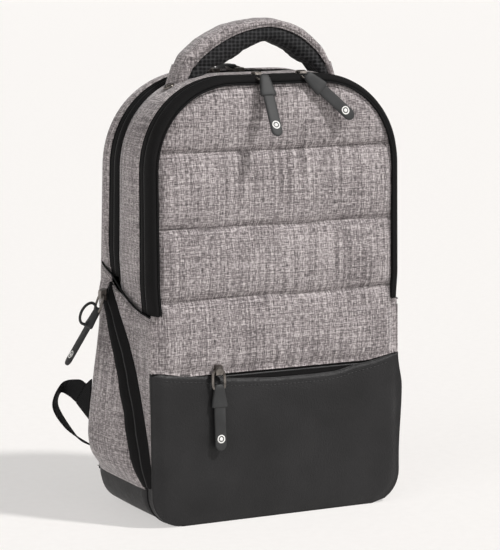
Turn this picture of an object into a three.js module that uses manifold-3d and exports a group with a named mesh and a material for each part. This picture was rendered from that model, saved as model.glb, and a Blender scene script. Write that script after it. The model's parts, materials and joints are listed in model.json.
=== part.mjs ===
// Racket backpack: a padded bag with a front flap and a main compartment over a leather front pocket.
// Millimetres, +Z up. The front faces -Y, the wearer's back is at +Y.
// The origin is the middle of the flat base.
// A depth share s runs from the front plane (0) to the back plane (1); both planes lean a little.
import * as THREE from "three";
import { mergeVertices } from "three/addons/utils/BufferGeometryUtils.js";
import Module from "manifold-3d";

const wasm = await Module();
wasm.setup();

// ---------------------------------------------------------------- driving dimensions
const HALF_WIDTH = 150;
const HEIGHT = 478;
const FRONT_AT_BASE = -80;
const BACK_AT_BASE = 85;
const FRONT_LEAN = 10 / 480;
const BACK_LEAN = -30 / 480;
const WALL = 3;
const NEST = WALL + 0.3; // inset of the swinging sections inside the fixed walls
const GAP = 0.3;

const BASE_RADIUS = 35;
const SHOULDER_Z = 378; // where the straight sides end
const TOP_FLAT = 50; // half length of the straight top edge

const SEAM_FRONT_Z = 227; // top edge of the side pockets, at the front and at the back
const SEAM_BACK_Z = 275;
const BOOT_TOP = 42;
const POCKET_TOP = 161;
const FLAP_HINGE_Z = 229;
const SKIRT_BOTTOM = 160; // hangs behind the mouth of the front pocket
const FRONT_WALL_TOP = 138; // low enough for the skirt to pass over it when the front section tilts

// depth shares of the layers, from the front to the back
const LEATHER = [0, 0.02];
const QUILT = [0.015, 0.055];
const SKIRT = [0.024, 0.055];
const FLAP_TAPE = [0.058, 0.118];
const GUSSET_FRONT_TAPE = [0.122, 0.197];
const FRONT_WALL = [0.09, 0.11];
const ORGANISER = [0.282, 0.295];
const DIVIDER = [0.3, 0.32];
const GUSSET = [0.2, 0.615];
const MAIN_FRONT_TAPE = [0.618, 0.698];
const MAIN_REAR_TAPE = [0.702, 0.782];
const REAR_GUSSET = [0.785, 0.967];
const LAPTOP_SLEEVE = [0.9, 0.925];
const BACK_PANEL = [0.97, 1];
const YOKE = [1.004, 1.03];
const BACK_PAD = [1.004, 1.085];
const STRAP_PAD = [1.115, 1.19];
const BUCKLE = [1.12, 1.155];

const COLOURS = {
  fabric: { color: 0x8a8382, roughness: 0.95 },
  leather: { color: 0x2a2a2c, roughness: 0.5 },
  tape: { color: 0x141415, roughness: 0.85 },
  lining: { color: 0x33343a, roughness: 0.9 },
  mesh: { color: 0x18181a, roughness: 0.95 },
  webbing: { color: 0x19191b, roughness: 0.9 },
  rubber: { color: 0x3c3d3e, roughness: 0.6 },
  metal: { color: 0x6a5c55, roughness: 0.35, metalness: 0.9 },
  plastic: { color: 0x101012, roughness: 0.5 },
};

const bag = new THREE.Group();
const degrees = THREE.MathUtils.degToRad;

function add(name, geometry, finish, parent = bag) {
  const mesh = new THREE.Mesh(geometry, new THREE.MeshStandardMaterial(COLOURS[finish]));
  mesh.name = name;
  parent.add(mesh);
  return mesh;
}

// ---------------------------------------------------------------- solids by manifold-3d
function solidOf(geometry) {
  const bare = geometry.clone();
  bare.deleteAttribute("normal");
  bare.deleteAttribute("uv");
  const merged = mergeVertices(bare, 1e-4);
  return new wasm.Manifold(
    new wasm.Mesh({
      numProp: 3,
      vertProperties: merged.attributes.position.array,
      triVerts: new Uint32Array(merged.index.array),
    }),
  );
}

function geometryOf(solid) {
  const mesh = solid.getMesh();
  return new THREE.BufferGeometry()
    .setAttribute("position", new THREE.BufferAttribute(mesh.vertProperties, 3))
    .setIndex(new THREE.BufferAttribute(mesh.triVerts, 1));
}

// ---------------------------------------------------------------- the bag's own coordinates
const yFront = (z) => FRONT_AT_BASE + FRONT_LEAN * z;
const yBack = (z) => BACK_AT_BASE + BACK_LEAN * z;
const yAt = (s, z) => yFront(z) * (1 - s) + yBack(z) * s;
const pointAt = (x, s, z) => new THREE.Vector3(x, yAt(s, z), z);

// A flat shape in x and z, given thickness from one depth share to another. Planes of equal s stay flat.
function slab(shape, [from, to]) {
  const flat = new THREE.ExtrudeGeometry(shape, { depth: to - from, bevelEnabled: false, steps: 1 });
  const geometry = flat.index ? flat.toNonIndexed() : flat;
  const position = geometry.attributes.position;
  const corners = [];
  for (let i = 0; i < position.count; i++) {
    const x = position.getX(i);
    const z = position.getY(i);
    corners.push(pointAt(x, from + position.getZ(i), z));
  }
  for (let i = 0; i < corners.length; i += 3) {
    [corners[i], corners[i + 2]] = [corners[i + 2], corners[i]];
  }
  return new THREE.BufferGeometry().setFromPoints(corners);
}

// A flat shape in y and z, given thickness along x.
function sidePlate(shape, xFrom, xTo) {
  const plate = new THREE.ExtrudeGeometry(shape, { depth: xTo - xFrom, bevelEnabled: false });
  const axes = new THREE.Matrix4().makeBasis(
    new THREE.Vector3(0, 1, 0),
    new THREE.Vector3(0, 0, 1),
    new THREE.Vector3(1, 0, 0),
  );
  return plate.applyMatrix4(axes).translate(xFrom, 0, 0);
}

// A flat shape in x and z, given thickness both ways along y.
function facePlate(shape, half) {
  const plate = new THREE.ExtrudeGeometry(shape, { depth: 2 * half, bevelEnabled: false });
  return plate.rotateX(Math.PI / 2).translate(0, half, 0);
}

const polygon = (pairs) => new THREE.Shape(pairs.map(([x, y]) => new THREE.Vector2(x, y)));

// ---------------------------------------------------------------- the front outline
// The right side and half the top, from zLow up to the middle, moved inwards by inset.
function rightHalf(inset, zLow) {
  const straight = [zLow, (zLow + SHOULDER_Z) / 2].map((z) => new THREE.Vector2(HALF_WIDTH - inset, z));
  const shoulder = new THREE.CubicBezierCurve(
    new THREE.Vector2(HALF_WIDTH, SHOULDER_Z),
    new THREE.Vector2(HALF_WIDTH, 436),
    new THREE.Vector2(108, HEIGHT),
    new THREE.Vector2(TOP_FLAT, HEIGHT),
  );
  const steps = 9;
  const curve = [];
  for (let i = 0; i <= steps; i++) {
    const point = shoulder.getPoint(i / steps);
    const tangent = shoulder.getTangent(i / steps);
    curve.push(new THREE.Vector2(point.x - tangent.y * inset, point.y + tangent.x * inset));
  }
  return [...straight, ...curve];
}

const mirrored = (points) => points.map((p) => new THREE.Vector2(-p.x, p.y)).reverse();

function arch(inset, zLow) {
  const right = rightHalf(inset, zLow);
  return [...right, ...mirrored(right)];
}

// The U-shaped band between two insets, standing on zLow.
function archBand(outer, inner, zLow) {
  return new THREE.Shape([...arch(outer, zLow), ...arch(inner, zLow).reverse()]);
}

// The lower outline with its round bottom corners, cut off at zTop, counter-clockwise from the top left.
function tub(inset, zTop) {
  const corner = [];
  const steps = 6;
  for (let i = 0; i <= steps; i++) {
    const angle = -Math.PI / 2 + (i / steps) * (Math.PI / 2);
    const radius = BASE_RADIUS - inset;
    corner.push(
      new THREE.Vector2(
        HALF_WIDTH - BASE_RADIUS + radius * Math.cos(angle),
        BASE_RADIUS + radius * Math.sin(angle),
      ),
    );
  }
  const right = [...corner, new THREE.Vector2(HALF_WIDTH - inset, zTop)];
  return [...mirrored(right), ...right];
}

function roundedBox(x0, x1, z0, z1, radius) {
  const shape = new THREE.Shape();
  shape.moveTo(x0 + radius, z0);
  shape.lineTo(x1 - radius, z0);
  shape.absarc(x1 - radius, z0 + radius, radius, -Math.PI / 2, 0);
  shape.lineTo(x1, z1 - radius);
  shape.absarc(x1 - radius, z1 - radius, radius, 0, Math.PI / 2);
  shape.lineTo(x0 + radius, z1);
  shape.absarc(x0 + radius, z1 - radius, radius, Math.PI / 2, Math.PI);
  shape.lineTo(x0, z0 + radius);
  shape.absarc(x0 + radius, z0 + radius, radius, Math.PI, 1.5 * Math.PI);
  return new THREE.Shape(shape.getPoints(4));
}

// ---------------------------------------------------------------- fixed casing
function addCasing() {
  const bootFrom = FRONT_WALL[1] + 0.003;
  const boot = [...tub(0, BOOT_TOP), ...tub(WALL, BOOT_TOP).reverse()];
  add("base_boot", slab(new THREE.Shape(boot), [bootFrom, BACK_PANEL[0] - 0.003]), "leather");
  add("base_board", slab(roundedBox(-105, 105, WALL + GAP, WALL + GAP + 4, 1.5), [0.14, 0.88]), "plastic");

  const leather = solidOf(slab(new THREE.Shape(tub(0, POCKET_TOP)), [LEATHER[0], FRONT_WALL[1]]));
  const room = new THREE.Shape(tub(WALL, POCKET_TOP + 5));
  const cavity = solidOf(slab(room, [LEATHER[1], FRONT_WALL[1] + 0.02]));
  add("front_pocket", geometryOf(leather.subtract(cavity)), "leather");
  add("lower_front_wall", slab(new THREE.Shape(tub(WALL + GAP, FRONT_WALL_TOP)), FRONT_WALL), "lining");
  const pocketTape = roundedBox(-143, 143, POCKET_TOP + GAP, POCKET_TOP + 12, 1);
  add("front_pocket_zip_tape", slab(pocketTape, [0.001, 0.012]), "tape");

  const backOutline = [...tub(0, 200).slice(1, -1), ...arch(0, 200)];
  add("back_panel", slab(new THREE.Shape(backOutline), BACK_PANEL), "lining");
  add("rear_gusset", slab(archBand(0, WALL, SEAM_BACK_Z + 3), REAR_GUSSET), "fabric");
  add("laptop_sleeve", slab(roundedBox(-118, 118, 14, 330, 14), LAPTOP_SLEEVE), "lining");
}

// ---------------------------------------------------------------- side walls and side pockets
const zSeam = (s) => SEAM_FRONT_Z + (SEAM_BACK_Z - SEAM_FRONT_Z) * s;
const onSide = (s, z) => new THREE.Vector2(yAt(s, z), z);

// The side zip runs from high at the back to low at the front.
const SIDE_ZIP_TOP = new THREE.Vector2(26, 250);
const SIDE_ZIP_BOTTOM = new THREE.Vector2(-59, 50);
const SIDE_ZIP_HALF = 11;
const POCKET_OUT = HALF_WIDTH + 12;
const POCKET_SKIN = 3.5;

// The part of a convex outline on the side of the line through origin that normal points away from.
function clip(points, origin, normal) {
  const depth = (p) => p.clone().sub(origin).dot(normal);
  const kept = [];
  points.forEach((p, i) => {
    const q = points[(i + 1) % points.length];
    const a = depth(p);
    const b = depth(q);
    if (a <= 0) kept.push(p);
    if (a * b < 0) kept.push(p.clone().lerp(q, a / (a - b)));
  });
  return kept;
}

// A convex outline moved inwards by a distance.
function inset(points, distance) {
  return points.reduce((kept, p, i) => {
    const q = points[(i + 1) % points.length];
    const normal = new THREE.Vector2(q.y - p.y, p.x - q.x).normalize();
    return clip(kept, p.clone().addScaledVector(normal, -distance), normal);
  }, points);
}

function addSide(side, name) {
  const order = (from, to) => (side > 0 ? [from, to] : [-to, -from]);
  const wall = [
    onSide(0.115, BOOT_TOP + 0.5),
    onSide(0.966, BOOT_TOP + 0.5),
    onSide(0.966, SEAM_BACK_Z + 2.5),
    onSide(0.784, SEAM_BACK_Z + 2.5),
    onSide(0.784, zSeam(0.784)),
    onSide(0, SEAM_FRONT_Z),
    onSide(0, POCKET_TOP + 2),
    onSide(0.115, POCKET_TOP + 2),
  ];
  const wallReach = order(HALF_WIDTH - WALL, HALF_WIDTH);
  add("side_wall_" + name, sidePlate(new THREE.Shape(wall), ...wallReach), "lining");

  const pocket = [
    onSide(0.01, 48),
    onSide(0.9, 48),
    onSide(0.96, 75),
    onSide(0.96, zSeam(0.96) - 2),
    onSide(0.01, SEAM_FRONT_Z - 2),
  ];
  const along = SIDE_ZIP_BOTTOM.clone().sub(SIDE_ZIP_TOP).normalize();
  const rearward = new THREE.Vector2(-along.y, along.x);
  const forward = rearward.clone().negate();
  const rearEdge = SIDE_ZIP_TOP.clone().addScaledVector(rearward, SIDE_ZIP_HALF + GAP);
  const frontEdge = SIDE_ZIP_TOP.clone().addScaledVector(forward, SIDE_ZIP_HALF + GAP);
  const inner = HALF_WIDTH + GAP;
  const room = new THREE.Shape(inset(pocket, POCKET_SKIN));
  const cavity = solidOf(sidePlate(room, ...order(inner - 1, POCKET_OUT - POCKET_SKIN)));
  for (const [part, edge, away] of [["rear_", rearEdge, forward], ["front_", frontEdge, rearward]]) {
    const plate = sidePlate(new THREE.Shape(clip(pocket, edge, away)), ...order(inner, POCKET_OUT));
    add("side_pocket_" + part + name, geometryOf(solidOf(plate).subtract(cavity)), "fabric");
  }
  const tape = [
    [SIDE_ZIP_TOP, rearward],
    [SIDE_ZIP_TOP, forward],
    [SIDE_ZIP_BOTTOM, forward],
    [SIDE_ZIP_BOTTOM, rearward],
  ].map(([end, way]) => end.clone().addScaledVector(way, SIDE_ZIP_HALF));
  const tapeReach = order(POCKET_OUT - 3, POCKET_OUT - 0.7);
  add("side_zip_tape_" + name, sidePlate(new THREE.Shape(tape), ...tapeReach), "tape");
}

// ---------------------------------------------------------------- front section and front flap
function addFrontSection() {
  add("middle_gusset", slab(archBand(NEST, NEST + WALL, 215), GUSSET), "fabric");
  add("main_zip_front_tape", slab(archBand(NEST, NEST + 2, 262), MAIN_FRONT_TAPE), "tape");
  add("main_zip_rear_tape", slab(archBand(NEST, NEST + 2, 262), MAIN_REAR_TAPE), "tape");
  add("front_zip_rear_tape", slab(archBand(NEST, NEST + 2, 231), GUSSET_FRONT_TAPE), "tape");
  const skirtEdge = HALF_WIDTH - NEST;
  const skirt = roundedBox(-skirtEdge, skirtEdge, SKIRT_BOTTOM, FLAP_HINGE_Z - 1.5, 1);
  add("front_skirt", slab(skirt, SKIRT), "fabric");
  add("compartment_divider", slab(new THREE.Shape(arch(7, 182)), DIVIDER), "lining");
  add("organiser_pocket", slab(roundedBox(-112, 112, 192, 330, 10), ORGANISER), "lining");
}

function addFlap() {
  add("front_flap", slab(new THREE.Shape(arch(NEST, FLAP_HINGE_Z + 1.5)), QUILT), "fabric");
  add("front_zip_flap_tape", slab(archBand(NEST, NEST + 2, 233), FLAP_TAPE), "tape");
}

// A pressed metal ring on the shoulder of the middle gusset.
function addEyelet() {
  const corners = [[3.4, 0], [6, 0], [6, 1], [5, 2], [3.4, 2], [3.4, 0]];
  const ring = corners.map(([r, h]) => new THREE.Vector2(r, h));
  const eyelet = add("cable_eyelet", new THREE.LatheGeometry(ring, 20), "metal");
  const outward = new THREE.Vector3(-0.42, 0, 0.91).normalize();
  eyelet.quaternion.setFromUnitVectors(new THREE.Vector3(0, 1, 0), outward);
  eyelet.position.set(-97, -20, 464.6);
}

// ---------------------------------------------------------------- carrying handle
const HANDLE_Y = -10;
const HANDLE_WIDTH = 34;
const HANDLE_FOOT_Z = 486;

// Matching points of the top face, the seam between cover and grip, and the underside, from left to right.
const HANDLE_ARC = [
  [[-92, 486], [-77, 486], [-50, 486]],
  [[-82, 502], [-67, 497], [-40, 488]],
  [[-56, 521], [-45, 512], [-25, 495]],
  [[-24, 533], [-18, 523], [-8, 505]],
  [[16, 537], [15, 528], [14, 512]],
  [[52, 528], [47, 519], [38, 503]],
  [[79, 508], [71, 502], [55, 491]],
  [[93, 486], [84, 486], [66, 486]],
];

function handleCurve(row) {
  const points = HANDLE_ARC.map((column) => new THREE.Vector2(...column[row]));
  return new THREE.SplineCurve(points).getPoints(21);
}

function addHandle() {
  const [top, seam, underside] = [0, 1, 2].map(handleCurve);
  const lowered = (points, by) => points.map((p) => new THREE.Vector2(p.x, p.y - by));
  const layers = [
    ["handle_cover", top, seam, "fabric"],
    ["handle_grip", lowered(seam, GAP), underside, "mesh"],
  ];
  for (const [name, above, below, finish] of layers) {
    const shape = new THREE.Shape([...below, ...above.slice().reverse()]);
    const body = new THREE.ExtrudeGeometry(shape, { depth: HANDLE_WIDTH, bevelEnabled: false });
    body.rotateX(Math.PI / 2);
    body.translate(0, HANDLE_Y + HANDLE_WIDTH / 2, 0);
    add(name, body, finish);
  }
  // Each sewn-in end is a ridge, so the handle can rock on it.
  for (const [name, x, ground] of [["left", -80, 473], ["right", 82.5, 472.2]]) {
    const ridge = new THREE.Shape([
      new THREE.Vector2(HANDLE_Y - 16, ground),
      new THREE.Vector2(HANDLE_Y + 16, ground),
      new THREE.Vector2(HANDLE_Y, HANDLE_FOOT_Z - 0.8),
    ]);
    add("handle_anchor_" + name, sidePlate(ridge, x - 6, x + 6), "fabric");
  }
}

// ---------------------------------------------------------------- back padding and harness
// A flat band along a smooth path. Each station is [x, y, z, half-width vector x, y, z].
function ribbon(stations, thickness, steps) {
  const path = new THREE.CatmullRomCurve3(stations.map((s) => new THREE.Vector3(s[0], s[1], s[2])));
  const across = new THREE.CatmullRomCurve3(stations.map((s) => new THREE.Vector3(s[3], s[4], s[5])));
  const corners = [];
  for (let i = 0; i <= steps; i++) {
    const t = i / steps;
    const centre = path.getPoint(t);
    const half = across.getPoint(t);
    const face = path.getTangent(t).cross(half).normalize().multiplyScalar(thickness / 2);
    for (const [a, b] of [[1, 1], [-1, 1], [-1, -1], [1, -1]]) {
      corners.push(centre.clone().addScaledVector(half, a).addScaledVector(face, b));
    }
  }
  const index = [0, 1, 2, 0, 2, 3];
  for (let i = 0; i < steps; i++) {
    for (let k = 0; k < 4; k++) {
      const a = 4 * i + k;
      const b = 4 * i + ((k + 1) % 4);
      index.push(a, a + 4, b, b, a + 4, b + 4);
    }
  }
  const end = 4 * steps;
  index.push(end, end + 2, end + 1, end, end + 3, end + 2);
  const geometry = new THREE.BufferGeometry().setFromPoints(corners).setIndex(index);
  const solid = solidOf(geometry);
  if (solid.volume() > 0) return geometry;
  for (let i = 0; i < index.length; i += 3) [index[i], index[i + 2]] = [index[i + 2], index[i]];
  return geometry.setIndex(index);
}

// The strap pad's middle line and half width, from its top seam down, on the right.
const STRAP_LINE = [
  [42, 434, 29],
  [48, 385, 32],
  [64, 310, 33],
  [78, 235, 31],
  [81, 175, 28],
  [77, 134, 20],
];
const BUCKLE_X = 77;
const WEB_HALF = 14;

// The adjusting webbing, from under the buckle round its slack loop to the tab on the side seam, on the left.
const WEBBING = [
  [-77, 106, 93, WEB_HALF, 0, 0],
  [-80, 108, 74, 13, 4, 2],
  [-98, 110, 55, 6, 12, 3],
  [-128, 109, 51, 3, 13.5, 1],
  [-149, 114, 59, 4, 13, -3],
  [-161, 126, 76, 6, 12.4, -3],
  [-168, 140, 98, 4, 13, -4],
  [-165, 134, 117, 0, 10, -9],
  [-161, 115, 122, -3, 8, -11],
  [-159, 97.5, 119, -4, 6, -12],
];
const TAB = [
  [-153, 85, 113, 0, 4, -24],
  [-155.5, 90, 116, -2, 5, -19],
  [-158.6, 96.5, 118.6, -4, 6, -12],
];

function mirrorStations(stations, side) {
  return stations.map(([x, y, z, a, b, c]) => [-side * x, y, z, -side * a, b, c]);
}

function addHarness(side, name) {
  const edges = [-1, 1].map((edge) =>
    new THREE.SplineCurve(
      STRAP_LINE.map(([x, z, half]) => new THREE.Vector2(side * x + edge * half, z)),
    ).getPoints(14),
  );
  const pad = new THREE.Shape([...edges[0], ...edges[1].reverse()]);
  add("strap_pad_" + name, slab(pad, STRAP_PAD), "fabric");

  const buckle = roundedBox(side * BUCKLE_X - 18, side * BUCKLE_X + 18, 96, 130, 4);
  for (const [low, high] of [[101, 106], [111, 116], [121, 126]]) {
    buckle.holes.push(roundedBox(side * BUCKLE_X - 14.5, side * BUCKLE_X + 14.5, low, high, 1));
  }
  add("strap_buckle_" + name, slab(buckle, BUCKLE), "plastic");
  add("strap_webbing_" + name, ribbon(mirrorStations(WEBBING, side), 1.8, 36), "webbing");
  add("strap_tab_" + name, ribbon(mirrorStations(TAB, side), 3, 6), "webbing");

  const [near, far] = side > 0 ? [14, 122] : [-122, -14];
  add("back_pad_" + name, slab(roundedBox(near, far, 168, 408, 22), BACK_PAD), "mesh");
}

function addBack() {
  add("lumbar_pad", slab(roundedBox(-118, 118, 45, 150, 24), BACK_PAD), "mesh");
  add("strap_yoke", slab(roundedBox(-74, 74, 424, 450, 6), YOKE), "fabric");
  const middle = yAt(YOKE[1], 436) + GAP + 1;
  const loop = [
    [-16, middle, 427, 0, 0, 4],
    [-12, middle + 4, 428, 0, 0, 4],
    [0, middle + 9, 429, 0, 0, 4],
    [12, middle + 4, 428, 0, 0, 4],
    [16, middle, 427, 0, 0, 4],
  ];
  add("hang_loop", ribbon(loop, 1.6, 16), "webbing");
}

// ---------------------------------------------------------------- zip sliders and their pulls
const SLIDER_FOOT = 3.4;
const LINK_REACH = 20;
const PULL_END = 86;
const BEND_AT = 44;

// A block with a cross hole, in which the link's top bar turns. The hole lies on the local X axis.
function sliderGeometry() {
  const block = polygon([
    [-2.2, -4.5],
    [SLIDER_FOOT, -6.5],
    [SLIDER_FOOT, 6.5],
    [-2.2, 4.5],
    [-3, 2],
    [-3, -2],
  ]);
  block.holes.push(new THREE.Path(new THREE.Path().absarc(0, 0, 1.7, 0, 2 * Math.PI, true).getPoints(6)));
  return sidePlate(block, -4, 4);
}

// The metal frame that hangs on the slider, with its top bar on the hinge axis.
function linkSolid() {
  const right = [[7, -20.8], [8.3, -17], [6.5, 0], [5.8, 0.9]];
  const left = right.map(([x, z]) => [-x, z]).reverse();
  const shape = polygon([...right, ...left]);
  const hole = polygon([[-4.6, -0.9], [4.6, -0.9], [6.2, -18.2], [-6.2, -18.2]]);
  shape.holes.push(new THREE.Path(hole.getPoints()));
  return solidOf(facePlate(shape, 0.8));
}

// The rubber: a head moulded round the link's lower bar, then a flat stem with a round end.
// The stem can be bent backwards where it leaves the head.
function rubberSolid(bend) {
  const head = polygon([[-4.6, -15], [-9, -39], [9, -39], [4.6, -15]]);
  const half = [[-1.8, -14.5], [-2.7, -17.5], [-2.7, -37.5], [-1.5, -39.5]];
  const mirrored = half.map(([y, z]) => [-y, z]).reverse();
  const sides = polygon([...half, ...mirrored]);
  const block = solidOf(facePlate(head, 4)).intersect(solidOf(sidePlate(sides, -10, 10)));
  const outline = new THREE.Shape();
  outline.moveTo(-6.6, 1 - BEND_AT);
  outline.absarc(0, -PULL_END + 6.6, 6.6, Math.PI, 2 * Math.PI);
  outline.lineTo(6.6, 1 - BEND_AT);
  const stem = facePlate(new THREE.Shape(outline.getPoints(5)), 1.5);
  stem.translate(0, 0, BEND_AT).rotateX(degrees(bend)).translate(0, 0, -BEND_AT);
  const neck = facePlate(polygon([[-6.6, -36], [-6.6, -BEND_AT], [6.6, -BEND_AT], [6.6, -36]]), 1.5);
  return block.add(solidOf(neck)).add(solidOf(stem));
}

// Link and rubber in the slider's hinge frame, the rubber leaned and turned about the link's lower bar.
function pullGeometry(turn, bend, lean) {
  const rubber = geometryOf(rubberSolid(bend));
  rubber.translate(0, 0, LINK_REACH).rotateY(degrees(-lean)).rotateX(degrees(turn));
  rubber.translate(0, 0, -LINK_REACH);
  return geometryOf(linkSolid().add(solidOf(rubber)));
}

const SIDE_SLIDER_X = POCKET_OUT - 0.4 + SLIDER_FOOT;
const TOP_ZIP_Z = HEIGHT - NEST + GAP + SLIDER_FOOT + 0.8;

// Every slider: its place on the hinge axis, the turn about Z that faces it outwards, and its own block's tilt.
// Then how far the link and the rubber swing out from hanging straight down, and the rubber's bend and lean.
// Angles are in degrees.
const TOP_FRONT_Y = yAt(0.12, HEIGHT);
const TOP_MAIN_Y = yAt(0.7, HEIGHT);
const POCKET_ZIP_Z = POCKET_TOP + 5.5;
const POCKET_ZIP_Y = yFront(POCKET_ZIP_Z) - SLIDER_FOOT - 0.3;
const FRONT_PULL = { turn: 0, lie: -90, link: 80 };
const MAIN_PULL = { turn: 180, lie: -90, link: 100, rubber: 90, bend: 75 };
const SLIDERS = [
  { name: "front_zip_left", at: [-17, TOP_FRONT_Y, TOP_ZIP_Z], rubber: 28, ...FRONT_PULL },
  { name: "front_zip_right", at: [37, TOP_FRONT_Y, TOP_ZIP_Z], rubber: 14, lean: 46, ...FRONT_PULL },
  { name: "main_zip_left", at: [-31, TOP_MAIN_Y, TOP_ZIP_Z], ...MAIN_PULL },
  { name: "main_zip_right", at: [-1, TOP_MAIN_Y, TOP_ZIP_Z], ...MAIN_PULL },
  { name: "front_pocket_zip", at: [-75, POCKET_ZIP_Y, POCKET_ZIP_Z], turn: 0, lie: 0, link: 2, rubber: 2 },
  { name: "side_zip_left", at: [-SIDE_SLIDER_X, 22.2, 241], turn: -90, lie: 0, link: 20, rubber: 33 },
  { name: "side_zip_right", at: [SIDE_SLIDER_X, 22.2, 241], turn: 90, lie: 0, link: 8, rubber: 8 },
];

function addSlider({ name, at, turn, lie, link, rubber, bend = 0, lean = 0 }) {
  const place = new THREE.Group();
  place.position.set(...at);
  place.rotation.z = degrees(turn);
  bag.add(place);

  const block = new THREE.Group();
  block.rotation.x = degrees(lie);
  place.add(block);
  add(name + "_slider", sliderGeometry(), "metal", block);

  const swing = new THREE.Group();
  swing.rotation.x = degrees(-link);
  place.add(swing);
  add(name + "_pull", pullGeometry(link - rubber, bend, lean), "rubber", swing);
}

addCasing();
addSide(-1, "left");
addSide(1, "right");
addFrontSection();
addFlap();
addEyelet();
addHandle();
addBack();
addHarness(-1, "left");
addHarness(1, "right");
SLIDERS.forEach(addSlider);

export default bag;
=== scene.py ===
import json
import math

import bmesh
import bpy
import numpy as np
from mathutils import Matrix, Vector, noise


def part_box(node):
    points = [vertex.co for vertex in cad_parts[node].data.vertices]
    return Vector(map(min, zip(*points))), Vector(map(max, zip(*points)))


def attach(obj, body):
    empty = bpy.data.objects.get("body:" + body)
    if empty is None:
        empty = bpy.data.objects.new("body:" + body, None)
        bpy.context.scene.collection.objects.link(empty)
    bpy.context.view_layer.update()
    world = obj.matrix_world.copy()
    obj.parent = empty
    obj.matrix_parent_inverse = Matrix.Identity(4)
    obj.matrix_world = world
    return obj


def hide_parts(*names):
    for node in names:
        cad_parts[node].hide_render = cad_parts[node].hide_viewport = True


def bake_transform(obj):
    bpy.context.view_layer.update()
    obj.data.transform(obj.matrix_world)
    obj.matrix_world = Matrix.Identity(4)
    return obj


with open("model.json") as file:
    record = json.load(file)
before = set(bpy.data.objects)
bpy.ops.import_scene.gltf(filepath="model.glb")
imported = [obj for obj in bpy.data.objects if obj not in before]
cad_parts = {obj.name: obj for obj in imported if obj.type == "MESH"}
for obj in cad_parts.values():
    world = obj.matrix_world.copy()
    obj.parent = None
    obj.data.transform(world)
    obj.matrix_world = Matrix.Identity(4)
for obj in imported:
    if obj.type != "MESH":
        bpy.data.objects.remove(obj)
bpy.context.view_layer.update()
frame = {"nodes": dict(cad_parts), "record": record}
nodes = frame["nodes"]
scene = bpy.context.scene

# ---------------------------------------------------------------- the bag's own coordinates, as in the CAD
SIDES = (("left", -1), ("right", 1))
HALF_WIDTH = 0.150
HEIGHT = 0.478
SHOULDER_Z = 0.378
TOP_FLAT = 0.050
BASE_RADIUS = 0.035
SEAM_FRONT_Z = 0.227
SEAM_BACK_Z = 0.275


def y_front(z):
    return -0.080 + 10 / 480 * z


def y_back(z):
    return 0.085 - 30 / 480 * z


def y_at(s, z):
    return y_front(z) * (1 - s) + y_back(z) * s


def z_seam(s):
    return SEAM_FRONT_Z + (SEAM_BACK_Z - SEAM_FRONT_Z) * s


def smooth(a, b, x):
    t = min(1.0, max(0.0, (x - a) / (b - a)))
    return t * t * (3 - 2 * t)


def signed_power(value, power):
    """Squares off or sharpens a sine or cosine, keeping its sign."""
    return math.copysign(abs(value) ** power, value)


def ripple(x, y, z, scale, seed=0.0):
    """Slow random waviness from -1 to 1, the same on every run."""
    return noise.noise(Vector((x * scale + seed, y * scale - seed, z * scale + 2 * seed)))


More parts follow.
